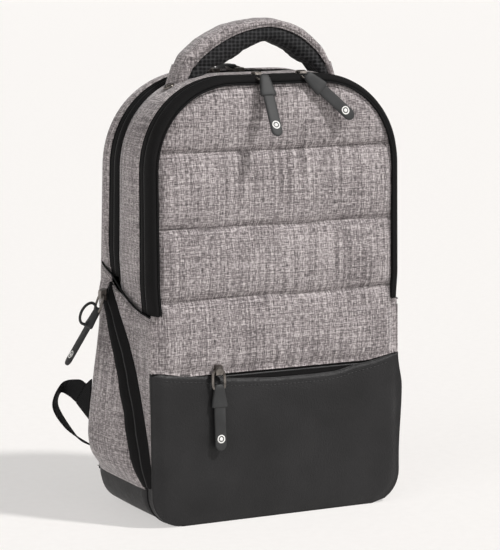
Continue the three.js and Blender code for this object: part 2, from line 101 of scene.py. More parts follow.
# ---------------------------------------------------------------- materials
class Nodes:
    """A small wrapper for building one material's node tree."""

    def __init__(self, name, colour, roughness, metallic=0.0, specular=0.5, sheen=0.0):
        self.material = bpy.data.materials.new(name)
        self.material.use_nodes = True
        self.tree = self.material.node_tree
        self.shader = self.tree.nodes["Principled BSDF"]
        self.shader.inputs["Base Color"].default_value = (*colour, 1)
        self.shader.inputs["Roughness"].default_value = roughness
        self.shader.inputs["Metallic"].default_value = metallic
        self.shader.inputs["Specular IOR Level"].default_value = specular
        if sheen:
            self.shader.inputs["Sheen Weight"].default_value = sheen
            self.shader.inputs["Sheen Roughness"].default_value = 0.5
        place = self.add("ShaderNodeTexCoord")
        self.position = place.outputs["Object"]
        self.facing = place.outputs["Normal"]

    def add(self, kind, **settings):
        made = self.tree.nodes.new(kind)
        for key, value in settings.items():
            setattr(made, key, value)
        return made

    def link(self, source, target):
        if hasattr(source, "type") and not isinstance(source, (int, float)):
            self.tree.links.new(source, target)
        else:
            target.default_value = source

    def math(self, operation, a, b=0.0, clamp=False):
        made = self.add("ShaderNodeMath", operation=operation, use_clamp=clamp)
        self.link(a, made.inputs[0])
        self.link(b, made.inputs[1])
        return made.outputs[0]

    def weave(self):
        """Thread directions: across and up the cloth, whichever way its surface faces."""
        where = self.add("ShaderNodeSeparateXYZ")
        self.link(self.position, where.inputs[0])
        facing = self.add("ShaderNodeSeparateXYZ")
        self.link(self.facing, facing.inputs[0])
        x, y, z = where.outputs
        sideways = self.math("GREATER_THAN", self.math("ABSOLUTE", facing.outputs[0]), 0.72)
        upwards = self.math("GREATER_THAN", self.math("ABSOLUTE", facing.outputs[2]), 0.72)
        u = self.math("ADD", x, self.math("MULTIPLY", sideways, self.math("SUBTRACT", y, x)))
        v = self.math("ADD", z, self.math("MULTIPLY", upwards, self.math("SUBTRACT", y, z)))
        return u, v

    def dot(self, x, y, z):
        """A weighted sum of the position's x, y and z."""
        made = self.add("ShaderNodeVectorMath", operation="DOT_PRODUCT")
        self.link(self.position, made.inputs[0])
        made.inputs[1].default_value = (x, y, z)
        return made.outputs["Value"]

    def vector(self, x, y, z=0.0):
        made = self.add("ShaderNodeCombineXYZ")
        for value, socket in zip((x, y, z), made.inputs):
            self.link(value, socket)
        return made.outputs[0]

    def noise(self, vector, scale, detail=2.0, rough=0.5):
        made = self.add("ShaderNodeTexNoise")
        self.link(vector, made.inputs["Vector"])
        made.inputs["Scale"].default_value = scale
        made.inputs["Detail"].default_value = detail
        made.inputs["Roughness"].default_value = rough
        return made.outputs["Fac"]

    def cells(self, vector, scale, feature="F1", randomness=1.0):
        made = self.add("ShaderNodeTexVoronoi", feature=feature)
        self.link(vector, made.inputs["Vector"])
        made.inputs["Scale"].default_value = scale
        made.inputs["Randomness"].default_value = randomness
        return made.outputs["Distance"]

    def ramp(self, factor, stops):
        made = self.add("ShaderNodeValToRGB")
        self.link(factor, made.inputs[0])
        elements = made.color_ramp.elements
        while len(elements) < len(stops):
            elements.new(0.5)
        for element, (place, colour) in zip(elements, stops):
            element.position = place
            element.color = (*colour, 1) if len(colour) == 3 else colour
        return made.outputs[0]

    def colour(self, factor, stops):
        self.tree.links.new(self.ramp(factor, stops), self.shader.inputs["Base Color"])

    def roughness(self, factor, low, high):
        made = self.add("ShaderNodeMapRange")
        self.link(factor, made.inputs["Value"])
        made.inputs["To Min"].default_value = low
        made.inputs["To Max"].default_value = high
        self.tree.links.new(made.outputs[0], self.shader.inputs["Roughness"])

    def bump(self, height, distance, strength=1.0):
        made = self.add("ShaderNodeBump")
        self.link(height, made.inputs["Height"])
        made.inputs["Distance"].default_value = distance
        made.inputs["Strength"].default_value = strength
        self.tree.links.new(made.outputs[0], self.shader.inputs["Normal"])


def heather(name, lift=1.0):
    """Grey melange polyester: light and dark threads crossing, with slubs and faint cloudiness."""
    m = Nodes(name, (0.3, 0.28, 0.27), 0.92, specular=0.2, sheen=0.25)
    u, v = m.weave()
    weft = m.noise(m.vector(m.math("MULTIPLY", u, 0.13), v), 1300, 1.5)
    warp = m.noise(m.vector(u, m.math("MULTIPLY", v, 0.13), 7.0), 1300, 1.5)
    slub_across = m.noise(m.vector(m.math("MULTIPLY", u, 0.03), v, 11.0), 520, 1.0)
    slub_up = m.noise(m.vector(u, m.math("MULTIPLY", v, 0.022), 17.0), 420, 1.0)
    fine = m.noise(m.vector(u, v, 3.0), 1700, 1.0)
    cloud = m.noise(m.position, 22, 2.0)
    threads = m.math("ADD", m.math("MULTIPLY", weft, 0.34), m.math("MULTIPLY", warp, 0.34))
    threads = m.math("ADD", threads, m.math("MULTIPLY", slub_across, 0.15))
    threads = m.math("ADD", threads, m.math("MULTIPLY", slub_up, 0.19))
    threads = m.math("ADD", threads, m.math("MULTIPLY", fine, 0.12))
    threads = m.math("ADD", threads, m.math("MULTIPLY", cloud, 0.07))
    dark = tuple(c * lift for c in (0.075, 0.066, 0.068))
    mid = tuple(c * lift for c in (0.228, 0.202, 0.205))
    light = tuple(c * lift for c in (0.60, 0.555, 0.555))
    m.colour(threads, [(0.51, dark), (0.60, mid), (0.71, light)])
    ribs = m.add("ShaderNodeTexWave", wave_type="BANDS", bands_direction="Y")
    m.link(m.vector(u, v), ribs.inputs["Vector"])
    ribs.inputs["Scale"].default_value = 260
    ribs.inputs["Distortion"].default_value = 1.5
    m.bump(m.math("ADD", threads, m.math("MULTIPLY", ribs.outputs["Fac"], 0.25)), 0.0008, 0.55)
    return m.material


def leather_grain(name):
    """Black coated synthetic leather with a fine pebble grain and slightly polished high spots."""
    m = Nodes(name, (0.011, 0.011, 0.0115), 0.5, specular=0.33)
    pebble = m.cells(m.position, 620)
    creases = m.noise(m.position, 70, 3.0)
    cloud = m.noise(m.position, 14, 2.0)
    m.colour(cloud, [(0.3, (0.0075, 0.0073, 0.0078)), (0.72, (0.0155, 0.0151, 0.0160))])
    m.roughness(m.math("ADD", m.math("MULTIPLY", pebble, 0.5), creases, clamp=True), 0.36, 0.60)
    m.bump(m.math("ADD", pebble, m.math("MULTIPLY", creases, 1.6)), 0.0006, 0.5)
    return m.material


def woven(name, dark, light, direction, pitch, rough=0.85, distance=0.0005):
    """Narrow woven tape or webbing: ribs across it, painted lighter on their crests and darker in their
    grooves as painted light and shade, and a little random colour variation.
    """
    m = Nodes(name, dark, rough, specular=0.12)
    ribs = m.add("ShaderNodeTexWave", wave_type="BANDS", bands_direction="X")
    m.link(m.vector(m.dot(*direction), 0.0), ribs.inputs["Vector"])
    ribs.inputs["Scale"].default_value = 1 / pitch / 3.14
    grain = m.noise(m.position, 900, 2.0)
    mixed = m.math("ADD", m.math("MULTIPLY", ribs.outputs["Fac"], 0.5), m.math("MULTIPLY", grain, 0.5))
    # The rib half of this mix paints light on the rib crests and shade in the grooves; the grain half is
    # random tone.
    m.colour(mixed, [(0.2, dark), (0.8, light)])
    m.bump(mixed, distance, 0.7)
    return m.material


def spacer_mesh(name, lift=1.0):
    """Black three-dimensional mesh: rows of small holes in a knitted face, the holes coloured near-black as
    painted shade inside them.
    """
    m = Nodes(name, (0.02, 0.02, 0.021), 0.9, specular=0.25, sheen=0.08)
    u, v = m.weave()
    holes = m.cells(m.vector(m.math("MULTIPLY", u, 0.8), v), 250, randomness=0.18)
    knit = m.noise(m.position, 1600, 1.0)
    face = tuple(c * lift for c in (0.042, 0.042, 0.044))
    # The two dark stops paint the shade inside the holes; the last stop is the knit face's own colour.
    m.colour(holes, [(0.0, (0.002, 0.002, 0.002)), (0.34, (0.008, 0.008, 0.009)), (0.6, face)])
    m.bump(m.math("ADD", holes, m.math("MULTIPLY", knit, 0.2)), 0.0012, 0.8)
    return m.material


def lining_cloth(name):
    """Plain dark lining with a diagonal twill."""
    m = Nodes(name, (0.04, 0.041, 0.047), 0.88, specular=0.25, sheen=0.15)
    twill = m.add("ShaderNodeTexWave", wave_type="BANDS", bands_direction="DIAGONAL")
    m.link(m.position, twill.inputs["Vector"])
    twill.inputs["Scale"].default_value = 330
    cloud = m.noise(m.position, 30, 3.0)
    m.colour(cloud, [(0.3, (0.030, 0.031, 0.036)), (0.75, (0.055, 0.057, 0.066))])
    m.bump(m.math("ADD", m.math("MULTIPLY", twill.outputs["Fac"], 0.3), cloud), 0.0007, 0.5)
    return m.material


def rubber(name):
    m = Nodes(name, (0.032, 0.033, 0.034), 0.58, specular=0.35)
    grain = m.noise(m.position, 1400, 2.0)
    wear = m.noise(m.position, 60, 3.0)
    m.colour(wear, [(0.3, (0.024, 0.0245, 0.025)), (0.75, (0.040, 0.041, 0.042))])
    m.roughness(wear, 0.48, 0.68)
    m.bump(grain, 0.0002, 0.5)
    return m.material


def plated_metal(name):
    m = Nodes(name, (0.23, 0.19, 0.165), 0.3, metallic=1.0)
    wear = m.noise(m.position, 240, 4.0)
    brushed = m.noise(m.position, 2600, 1.0)
    m.colour(wear, [(0.3, (0.10, 0.090, 0.083)), (0.7, (0.27, 0.245, 0.225))])
    m.roughness(wear, 0.2, 0.42)
    m.bump(brushed, 0.00008, 0.6)
    return m.material


def moulded_plastic(name):
    m = Nodes(name, (0.018, 0.018, 0.019), 0.45, specular=0.45)
    texture = m.noise(m.position, 1900, 2.0)
    tone = m.noise(m.position, 40, 2.0)
    m.colour(tone, [(0.3, (0.008, 0.008, 0.0085)), (0.75, (0.017, 0.017, 0.018))])
    m.roughness(texture, 0.38, 0.56)
    m.bump(texture, 0.00015, 0.6)
    return m.material


def print_white(name):
    m = Nodes(name, (0.82, 0.82, 0.80), 0.55)
    speckle = m.noise(m.position, 1500, 2.0)
    m.colour(speckle, [(0.25, (0.62, 0.62, 0.60)), (0.5, (0.84, 0.84, 0.82))])
    m.bump(speckle, 0.0001, 0.4)
    return m.material


def thread(name, dark, light):
    m = Nodes(name, dark, 0.7, specular=0.35, sheen=0.1)
    twist = m.noise(m.position, 2200, 1.0)
    m.colour(twist, [(0.3, dark), (0.7, light)])
    m.bump(twist, 0.0002, 0.6)
    return m.material


FABRIC = heather("heather_weave")
LEATHER = leather_grain("grained_leather")
TAPE = woven("zip_tape_weave", (0.0050, 0.0048, 0.0050), (0.014, 0.0136, 0.0140), (0.6, 0.6, 1), 0.0011)
WEB = woven(
    "ribbed_webbing", (0.0060, 0.0060, 0.0065), (0.022, 0.022, 0.023), (0.3, 1, 1), 0.0022, distance=0.0009
)
BINDING = woven("binding_tape", (0.0055, 0.0055, 0.0058), (0.016, 0.016, 0.0165), (1, 0.3, 0.4), 0.0014)
MESH = spacer_mesh("spacer_knit")
LINING = lining_cloth("twill_lining")
RUBBER = rubber("matt_rubber")
METAL = plated_metal("plated_metal")
PLASTIC = moulded_plastic("moulded_plastic")
WHITE = print_white("white_print")
THREAD_GREY = thread("grey_thread", (0.10, 0.095, 0.093), (0.24, 0.22, 0.215))
THREAD_BLACK = thread("black_thread", (0.014, 0.014, 0.015), (0.05, 0.05, 0.052))

SLOT_MATERIALS = {
    "heather_fabric": FABRIC,
    "leather": LEATHER,
    "zip_tape": TAPE,
    "lining": LINING,
    "spacer_mesh": MESH,
    "webbing": WEB,
    "rubber_pull": RUBBER,
    "gunmetal": METAL,
    "plastic": PLASTIC,
}
for entry in frame["record"]["subparts"]:
    shown = nodes[entry["node"]]
    shown.data.materials.clear()
    shown.data.materials.append(SLOT_MATERIALS[entry["material_slot"]])


# ---------------------------------------------------------------- mesh helpers
def bare(name, verts, faces):
    """A mesh object with no material yet."""
    mesh = bpy.data.meshes.new(name)
    mesh.from_pydata([tuple(v) for v in verts], [], faces)
    made = bpy.data.objects.new(name, mesh)
    scene.collection.objects.link(made)
    tidy_normals(made)
    return made


def piece(name, verts, faces, material, body=None, **more):
    made = bare(name, verts, faces)
    finish_piece(made, material, body, **more)
    return made


def tidy_normals(made):
    working = bmesh.new()
    working.from_mesh(made.data)
    bmesh.ops.recalc_face_normals(working, faces=working.faces)
    working.to_mesh(made.data)
    working.free()


def finish_piece(made, material, body=None, replaces=(), padded=None):
    made.data.materials.clear()
    made.data.materials.append(material)
    made.data.polygons.foreach_set("use_smooth", [True] * len(made.data.polygons))
    if body:
        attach(made, body)
    if replaces:
        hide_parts(*replaces)


def refine(made):
    """One applied subdivision."""
    modifier = made.modifiers.new("subdivision", "SUBSURF")
    modifier.levels = modifier.render_levels = 1
    bake_modifiers(made)


def bake_modifiers(made):
    graph = bpy.context.evaluated_depsgraph_get()
    final = bpy.data.meshes.new_from_object(made.evaluated_get(graph))
    made.modifiers.clear()
    old = made.data
    made.data = final
    bpy.data.meshes.remove(old)


def ring_faces(count, around, closed_path=False):
    """The faces between successive rings, with a cap at each end of an open path."""
    faces = []
    for i in range(count if closed_path else count - 1):
        j = (i + 1) % count
        for k in range(around):
            m = (k + 1) % around
            faces.append((i * around + k, i * around + m, j * around + m, j * around + k))
    if not closed_path:
        faces.append(tuple(range(around))[::-1])
        faces.append(tuple((count - 1) * around + k for k in range(around)))
    return faces


def sweep(name, rings, material, body=None, closed_path=False, **more):
    """A closed body from rings of points. Every ring is a closed loop with the same number of points."""
    verts = [p for ring in rings for p in ring]
    return piece(name, verts, ring_faces(len(rings), len(rings[0]), closed_path), material, body, **more)


def two_skins(name, outer, inner, material, body, **more):
    """A thin closed panel from two grids of points, joined round their rim."""
    rows, columns = len(outer) - 1, len(outer[0]) - 1
    width = columns + 1
    offset = width * (rows + 1)
    verts = [p for row in [*outer, *inner] for p in row]
    faces = []
    for i in range(rows):
        for j in range(columns):
            a, b, c, d = i * width + j, i * width + j + 1, (i + 1) * width + j + 1, (i + 1) * width + j
            faces.append((a, b, c, d))
            faces.append((offset + d, offset + c, offset + b, offset + a))
    rim = list(range(width))
    rim += [i * width + columns for i in range(1, rows + 1)]
    rim += [rows * width + j for j in range(columns - 1, -1, -1)]
    rim += [i * width for i in range(rows - 1, 0, -1)]
    for a, b in zip(rim, rim[1:] + rim[:1]):
        faces.append((b, a, offset + a, offset + b))
    return piece(name, verts, faces, material, body, **more)


def frames_along(points):
    """Each point of a path with two cross directions, without twist."""
    points = [Vector(p) for p in points]
    made = []
    side = None
    for i, p in enumerate(points):
        tangent = (points[min(i + 1, len(points) - 1)] - points[max(i - 1, 0)]).normalized()
        if side is None:
            guess = Vector((0, 0, 1))
            if abs(guess.dot(tangent)) > 0.95:
                guess = Vector((1, 0, 0))
            side = tangent.cross(guess).normalized()
        side = (side - tangent * side.dot(tangent)).normalized()
        made.append((p, side, tangent.cross(side)))
    return made


def tube_data(points, radius, sides=8):
    verts = []
    for p, a, b in frames_along(points):
        for k in range(sides):
            angle = 2 * math.pi * k / sides
            verts.append(p + (a * math.cos(angle) + b * math.sin(angle)) * radius)
    return verts, ring_faces(len(points), sides)


def tube(name, points, radius, material, body=None, sides=8, **more):
    verts, faces = tube_data(points, radius, sides)
    return piece(name, verts, faces, material, body, **more)


def joined(parts):
    """Several (verts, faces) in one."""
    verts, faces = [], []
    for more_verts, more_faces in parts:
        start = len(verts)
        verts += list(more_verts)
        faces += [tuple(i + start for i in f) for f in more_faces]
    return verts, faces


def resample(points, step):
    """The path's points at even spacing."""
    points = [Vector(p) for p in points]
    lengths = [0.0]
    for a, b in zip(points, points[1:]):
        lengths.append(lengths[-1] + (b - a).length)
    count = max(2, round(lengths[-1] / step) + 1)
    made, i = [], 0
    for k in range(count):
        want = lengths[-1] * k / (count - 1)
        while i < len(points) - 2 and lengths[i + 1] < want:
            i += 1
        span = max(1e-9, lengths[i + 1] - lengths[i])
        made.append(points[i].lerp(points[i + 1], (want - lengths[i]) / span))
    return made


def stitches(name, paths, material, body, length=0.0032, pitch=0.0046, radius=0.00042):
    """Rows of short thread stitches along paths."""
    parts = []
    for path in paths:
        dense = resample(path, 0.0004)
        per = max(1, round(pitch / 0.0004))
        run = max(2, round(length / 0.0004))
        for start in range(0, len(dense) - run, per):
            a, b = dense[start], dense[start + run]
            parts.append(tube_data([a, a.lerp(b, 0.5), b], radius, 5))
    verts, faces = joined(parts)
    return piece(name, verts, faces, material, body)


# ---------------------------------------------------------------- the outline over the top
def shoulder(t):
    a = Vector((HALF_WIDTH, SHOULDER_Z))
    b = Vector((HALF_WIDTH, 0.436))
    c = Vector((0.108, HEIGHT))
    d = Vector((TOP_FLAT, HEIGHT))
    point = a * (1 - t) ** 3 + b * 3 * t * (1 - t) ** 2 + c * 3 * t * t * (1 - t) + d * t**3
    slope = (b - a) * 3 * (1 - t) ** 2 + (c - b) * 6 * t * (1 - t) + (d - c) * 3 * t * t
    slope.normalize()
    return point, Vector((slope.y, -slope.x))


def mirrored(half, middle):
    """A whole outline, left to right, from its right half and its middle point."""
    return [(Vector((-p.x, p.y)), Vector((-n.x, n.y))) for p, n in half] + [middle] + half[::-1]


def arch(z_low, step=0.006):
    """Points and outward normals from the left side's foot, over the top, to the right side's foot."""
    half = []
    rise = SHOULDER_Z - z_low
    count = max(2, round(rise / step))
    for i in range(count):
        half.append((Vector((HALF_WIDTH, z_low + rise * i / count)), Vector((1, 0))))
    for i in range(31):
        half.append(shoulder(i / 30))
    for i in range(1, 8):
        half.append((Vector((TOP_FLAT * (1 - i / 8), HEIGHT)), Vector((0, 1))))
    return mirrored(half, (Vector((0, HEIGHT)), Vector((0, 1))))


class RunPoint(Vector):
    """A point of an outline that also knows how far along it lies."""

    run = 0.0


def fine_arch(z_low, pitch=0.00115):
    """The arch with even, close points, each carrying its distance along the outline as .run."""
    coarse = arch(z_low, 0.003)
    lengths = [0.0]
    for (a, _), (b, _) in zip(coarse, coarse[1:]):
        lengths.append(lengths[-1] + (b - a).length)
    made, i = [], 0
    count = round(lengths[-1] / pitch / 2)
    for k in range(2 * count + 1):
        want = lengths[-1] * k / (2 * count)
        while i < len(coarse) - 2 and lengths[i + 1] < want:
            i += 1
        t = (want - lengths[i]) / (lengths[i + 1] - lengths[i])
        point = RunPoint(coarse[i][0].lerp(coarse[i + 1][0], t))
        point.run = (want - lengths[-1] / 2)
        made.append((point, coarse[i][1].lerp(coarse[i + 1][1], t).normalized()))
    return made


def tub_outline(inset, z_top, step=0.006):
    """Points and outward normals from the left side down round the base to the right side."""
    half = []
    rise = z_top - BASE_RADIUS
    count = max(1, round(rise / step))
    for i in range(count):
        half.append((Vector((HALF_WIDTH - inset, z_top - rise * i / count)), Vector((1, 0))))
    for i in range(13):
        angle = -math.pi / 2 * i / 12
        n = Vector((math.cos(angle), math.sin(angle)))
        centre = Vector((HALF_WIDTH - BASE_RADIUS, BASE_RADIUS))
        half.append((centre + n * (BASE_RADIUS - inset), n))
    for i in range(1, 10):
        half.append((Vector(((HALF_WIDTH - BASE_RADIUS) * (1 - i / 10), inset)), Vector((0, -1))))
    return mirrored(half, (Vector((0, inset)), Vector((0, -1))))


def band(name, path, section, material, body, **more):
    """A band swept along an outline. section(point) lists its (depth share, outward offset) corners."""
    rings = []
    for p, n in path:
        ring = []
        for s, out in section(p):
            q = p + n * out
            ring.append((q.x, y_at(s, q.y), q.y))
        rings.append(ring)
    return sweep(name, rings, material, body, **more)


def edge_line(path, s, out):
    """The 3-D line along an outline at one depth share and offset."""
    made = []
    for p, n in path:
        q = p + n * out
        made.append(Vector((q.x, y_at(s, q.y), q.y)))
    return made


# ---------------------------------------------------------------- simulated padding
def from_outline(name, outline, near, far):
    """A closed slab of an x and z outline between two depth shares."""
    count = len(outline)
    verts = [(x, y_at(near, z), z) for x, z in outline] + [(x, y_at(far, z), z) for x, z in outline]
    faces = [tuple(range(count)), tuple(range(count, 2 * count))[::-1]]
    faces += [(k, (k + 1) % count, count + (k + 1) % count, count + k) for k in range(count)]
    return bare(name, verts, faces)


def copy_of(name, node, shrink):
    """A copy of a CAD node's mesh, slightly smaller, as a start for padding."""
    mesh = nodes[node].data.copy()
    made = bpy.data.objects.new(name, mesh)
    scene.collection.objects.link(made)
    low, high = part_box(node)
    centre = (low + high) / 2
    size = high - low
    factor = [max(0.5, 1 - 2 * shrink / max(size[i], 1e-6)) for i in range(3)]
    for v in mesh.vertices:
        v.co = Vector(centre[i] + (v.co[i] - centre[i]) * factor[i] for i in range(3))
    return made


def remesh(made, size):
    modifier = made.modifiers.new("remesh", "REMESH")
    modifier.mode = "VOXEL"
    modifier.voxel_size = size
    bake_modifiers(made)


def coordinates(made):
    flat = np.zeros(len(made.data.vertices) * 3, np.float32)
    made.data.vertices.foreach_get("co", flat)
    return flat.reshape(-1, 3).astype(float)


def set_coordinates(made, points):
    made.data.vertices.foreach_set("co", np.asarray(points, np.float32).ravel())
    made.data.update()


def inflate(jobs):
    """Swells closed cloth pieces under pressure, all in one run. jobs: (object, pressure, largest move)."""
    rest = {made.name: coordinates(made) for made, _, _ in jobs}
    for made, pressure, _ in jobs:
        cloth = made.modifiers.new("cloth", "CLOTH").settings
        cloth.quality = 4
        cloth.mass = 0.2
        cloth.use_pressure = True
        cloth.uniform_pressure_force = pressure
        cloth.tension_stiffness = cloth.compression_stiffness = 12
        cloth.shear_stiffness = 4
        cloth.bending_stiffness = 0.4
        cloth.effector_weights.gravity = 0
    for step in range(1, 21):
        scene.frame_set(step)
    for made, _, cap in jobs:
        bake_modifiers(made)
        moved = coordinates(made)
        change = moved - rest[made.name]
        size = np.linalg.norm(change, axis=1, keepdims=True)
        change *= np.minimum(1, cap / np.maximum(size, 1e-9))
        set_coordinates(made, rest[made.name] + change)
    scene.frame_set(1)


# ---------------------------------------------------------------- quilted front panel
QUILT_SEAMS = (0.401, 0.320, 0.244)
QUILT_INSET = 0.0048
QUILT_FOOT = 0.1600


def quilt_outline():
    points = []
    for p, n in arch(0.236, 0.008):
        q = p - n * QUILT_INSET
        points.append((q.x, q.y))
    low = [(0.1482, 0.229), (0.1484, 0.2), (0.1484, QUILT_FOOT)]
    low = low + [(x / 10 * 0.1484, QUILT_FOOT) for x in range(9, 0, -1)]
    left = [(-x, z) for x, z in low[::-1]]
    return points + low + [(0, QUILT_FOOT)] + left


def seam_wave(x, z_line):
    """Sewn lines sag and waver a little."""
    return z_line + 0.0012 * ripple(x, z_line, 0, 14, 3.0) - 0.0012 * (1 - (x / HALF_WIDTH) ** 2)


def quilt_puff(x, z):
    """How far the padded front stands out of the sewn plane, from 0 at a seam to 1 mid-channel."""
    lines = [0.4735, *[seam_wave(x, line) for line in QUILT_SEAMS], 0.158]
    for top, bottom in zip(lines, lines[1:]):
        if bottom <= z <= top:
            t = (z - bottom) / (top - bottom)
            height = (top - bottom) / 0.08
            crown = (1 - abs(2 * t - 1) ** 2.2) ** 0.72
            return crown * (0.75 + 0.25 * min(1.2, height))
    return 0.0


def edge_share(x, z):
    """0 at the panel's outer edge, rising to 1 a little way inside it."""
    if z > SHOULDER_Z:
        best = min((Vector((abs(x), z)) - (p - n * QUILT_INSET)).length for p, n in SHOULDER_POINTS)
    else:
        best = HALF_WIDTH - QUILT_INSET - abs(x)
    return smooth(-0.001, 0.012, best)


SHOULDER_POINTS = [shoulder(i / 24) for i in range(25)] + [
    (Vector((TOP_FLAT * i / 4, HEIGHT)), Vector((0, 1))) for i in range(4)
]


def quilt_front(x, z, swell):
    """The front surface's y."""
    edge = edge_share(x, z)
    puff = quilt_puff(x, z)
    pucker, groove = 0.0, 0.0
    for line in QUILT_SEAMS:
        away = z - seam_wave(x, line)
        groove += math.exp(-((away / 0.0026) ** 2)) * 0.0026
        pucker += math.exp(-((away / 0.008) ** 2)) * 0.0008 * ripple(x, 0, line, 95, 5.0)
    stand = -0.0018 + 0.0060 * puff * (0.30 + 0.70 * edge)
    stand = stand * (0.25 + 0.75 * edge) - 0.0022 * (1 - edge)
    stand += 0.0012 * ripple(x, 0, z, 17, 1.0) * puff + 0.0009 * ripple(x, 0, z, 42, 8.0) * puff
    stand += (pucker - groove) * edge
    hem = 1 - smooth(0.161, 0.176, z)
    stand = stand * (1 - hem) - 0.0006 * hem
    return y_front(z) - stand - swell


def fabric_hem(x):
    """Where the cloth's lower edge hangs over the leather pocket's mouth."""
    return 0.1620 + 0.0060 * smooth(0.105, 0.149, abs(x))


def make_quilt():
    made = from_outline("quilted_front", quilt_outline(), 0.004, 0.05)
    remesh(made, 0.0040)
    return made


def shape_quilt(made, before):
    """Sews the swollen panel down along its seams, keeping a little of the simulated cloth's unevenness."""
    moved = coordinates(made)[:, 1] - before[:, 1]
    level = float(np.median(moved[moved < 0])) if (moved < 0).any() else 0.0
    start = before.copy()
    start[:, 1] += np.where(moved < 0, np.clip((moved - level) * 0.25, -0.0009, 0.0009), 0)
    set_coordinates(made, start)
    refine(made)
    points = coordinates(made)
    for i, (x, y, z) in enumerate(points):
        front, rear = y_at(0.004, z), y_at(0.052, z)
        depth = min(1.0, max(0.0, (y - front) / (rear - front)))
        swell = min(0.0009, max(-0.0009, front - y)) if depth < 0.2 else 0.0
        if z < 0.19:
            z = 0.19 - (0.19 - z) * (0.19 - fabric_hem(x)) / (0.19 - QUILT_FOOT)
            rear = y_at(0.052, z)
        if abs(x) > 0.143 and z < SHOULDER_Z:
            x = math.copysign(0.143 + (abs(x) - 0.143) * (0.0060 if z < 0.232 else 0.0028) / 0.0045, x)
            x = math.copysign(min(abs(x), 0.1488), x)
        surface = quilt_front(x, z, swell)
        points[i] = (x, surface + (rear - surface) * depth, z)
    set_coordinates(made, points)
    relaxed = made.modifiers.new("relax", "SMOOTH")
    relaxed.factor = 0.35
    relaxed.iterations = 1
    bake_modifiers(made)


quilt = make_quilt()

# ---------------------------------------------------------------- back pads and strap pads
pads = {}
for side in ("left", "right"):
    pads["back_pad_" + side] = copy_of("back_cushion_" + side, "back_pad_" + side, 0.0015)
    pads["strap_pad_" + side] = copy_of("strap_cushion_" + side, "strap_pad_" + side, 0.0015)
pads["lumbar_pad"] = copy_of("lumbar_cushion", "lumbar_pad", 0.0015)
for made in pads.values():
    remesh(made, 0.005)
starts = {name: coordinates(made) for name, made in [*pads.items(), ("quilt", quilt)]}
inflate([(quilt, 3.0, 0.006)] + [(made, 4.0, 0.005) for made in pads.values()])


# Depth shares of a pad's base, of where its outer face begins and of that face, and how far it may swell.
BACK_PAD_DEPTHS = (1.004, 1.05, 1.085)
STRAP_PAD_DEPTHS = (1.108, 1.15, 1.19)
PAD_SWELL = 0.004
CHANNEL_WIDTH = 0.006
CHANNEL_DEPTH = 0.005


def clamp_pad(name, depths, axis, channels):
    """Keeps a pad's base on the panel and presses sewn channels, placed along an axis, into its face."""
    made = pads[name]
    base, outer, face = depths
    points = coordinates(made)
    for i, point in enumerate(points):
        x, y, z = point
        share = (starts[name][i][1] - y_front(z)) / (y_back(z) - y_front(z))
        y = min(max(y, y_at(base, z)), y_at(face, z) + PAD_SWELL)
        for line in channels:
            if share > outer:
                y -= CHANNEL_DEPTH * math.exp(-(((point[axis] - line) / CHANNEL_WIDTH) ** 2))
        points[i] = (x, y, z)
    set_coordinates(made, points)
    refine(made)


for side in ("left", "right"):
    clamp_pad("back_pad_" + side, BACK_PAD_DEPTHS, 2, (0.208, 0.248, 0.288, 0.328, 0.368))
    finish_piece(pads["back_pad_" + side], MESH, "pack", ["back_pad_" + side], padded=0.7)
    clamp_pad("strap_pad_" + side, STRAP_PAD_DEPTHS, 2, ())
    finish_piece(pads["strap_pad_" + side], MESH, "strap_" + side, ["strap_pad_" + side], padded=0.7)
clamp_pad("lumbar_pad", BACK_PAD_DEPTHS, 0, (-0.06, 0.0, 0.06))
finish_piece(pads["lumbar_pad"], MESH, "pack", ["lumbar_pad"], padded=0.7)

shape_quilt(quilt, starts["quilt"])
finish_piece(quilt, FABRIC, None, ["front_flap", "front_skirt"], padded=0.5)
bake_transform(quilt)


def quilt_stitches():
    rows = []
    for line in QUILT_SEAMS:
        row = []
        for i in range(-70, 71):
            x = i / 70 * 0.142
            z = seam_wave(x, line) - 0.0009
            row.append((x, quilt_front(x, z, 0) - 0.0001, z))
        rows.append(row)
    return rows


stitches("quilt_stitching", quilt_stitches(), THREAD_GREY, "front_flap")

# ---------------------------------------------------------------- front zip: the rounded front edge
front_path = fine_arch(0.222)
flap_path = fine_arch(0.2290)


def tuck(p, s):
    """How far a band's lower end draws in, to pass behind the side pocket's top edge."""
    hem = hem_height(s)
    low = 1 - smooth(hem - 0.012, hem, p.y)
    return 0.0022 * (1 - smooth(hem - 0.004, hem + 0.034, p.y)) + 0.0020 * low


def hem_height(s):
    """The side pocket's top edge, a shallow curve from front to back."""
    s = min(1.0, max(0.0, s))
    return z_seam(s) - 0.0085 * math.sin(math.pi * min(1, s / 0.72)) * (s < 0.72)


def ribs(p, size=0.0005, pitch=0.0023):
    """The teeth of a reversed coil, felt through the tape as fine ribs across it."""
    return size * math.sin(2 * math.pi * p.run / pitch)


def corner_section(p):
    """The zip tape that wraps the front edge, from the front face round to the side."""
    wobble = 0.0005 * ripple(p.x, 0, p.y, 30, 2.0)
    rib = ribs(p)
    outer = [
        (0.014, -0.0085),
        (-0.004, -0.0068),
        (-0.010, -0.0050),
        (-0.004, -0.0028),
        (0.010, -0.0010),
        (0.030, 0.0003 + wobble),
        (0.048, 0.0006 + wobble + rib),
        (0.070, 0.0009 + wobble + rib),
        (0.092, 0.0008 + wobble + rib),
        (0.106, 0.0005 + wobble),
        (0.116, 0.0000),
    ]
    inner = [(0.1185, -0.0012), (0.112, -0.0034), (0.070, -0.0036), (0.036, -0.0048), (0.030, -0.0080)]
    draw = tuck(p, 0.06)
    return [(s, out - draw) for s, out in outer + inner]


band("front_zip_flap_band", flap_path, corner_section, TAPE, "front_flap", replaces=["front_zip_flap_tape"])


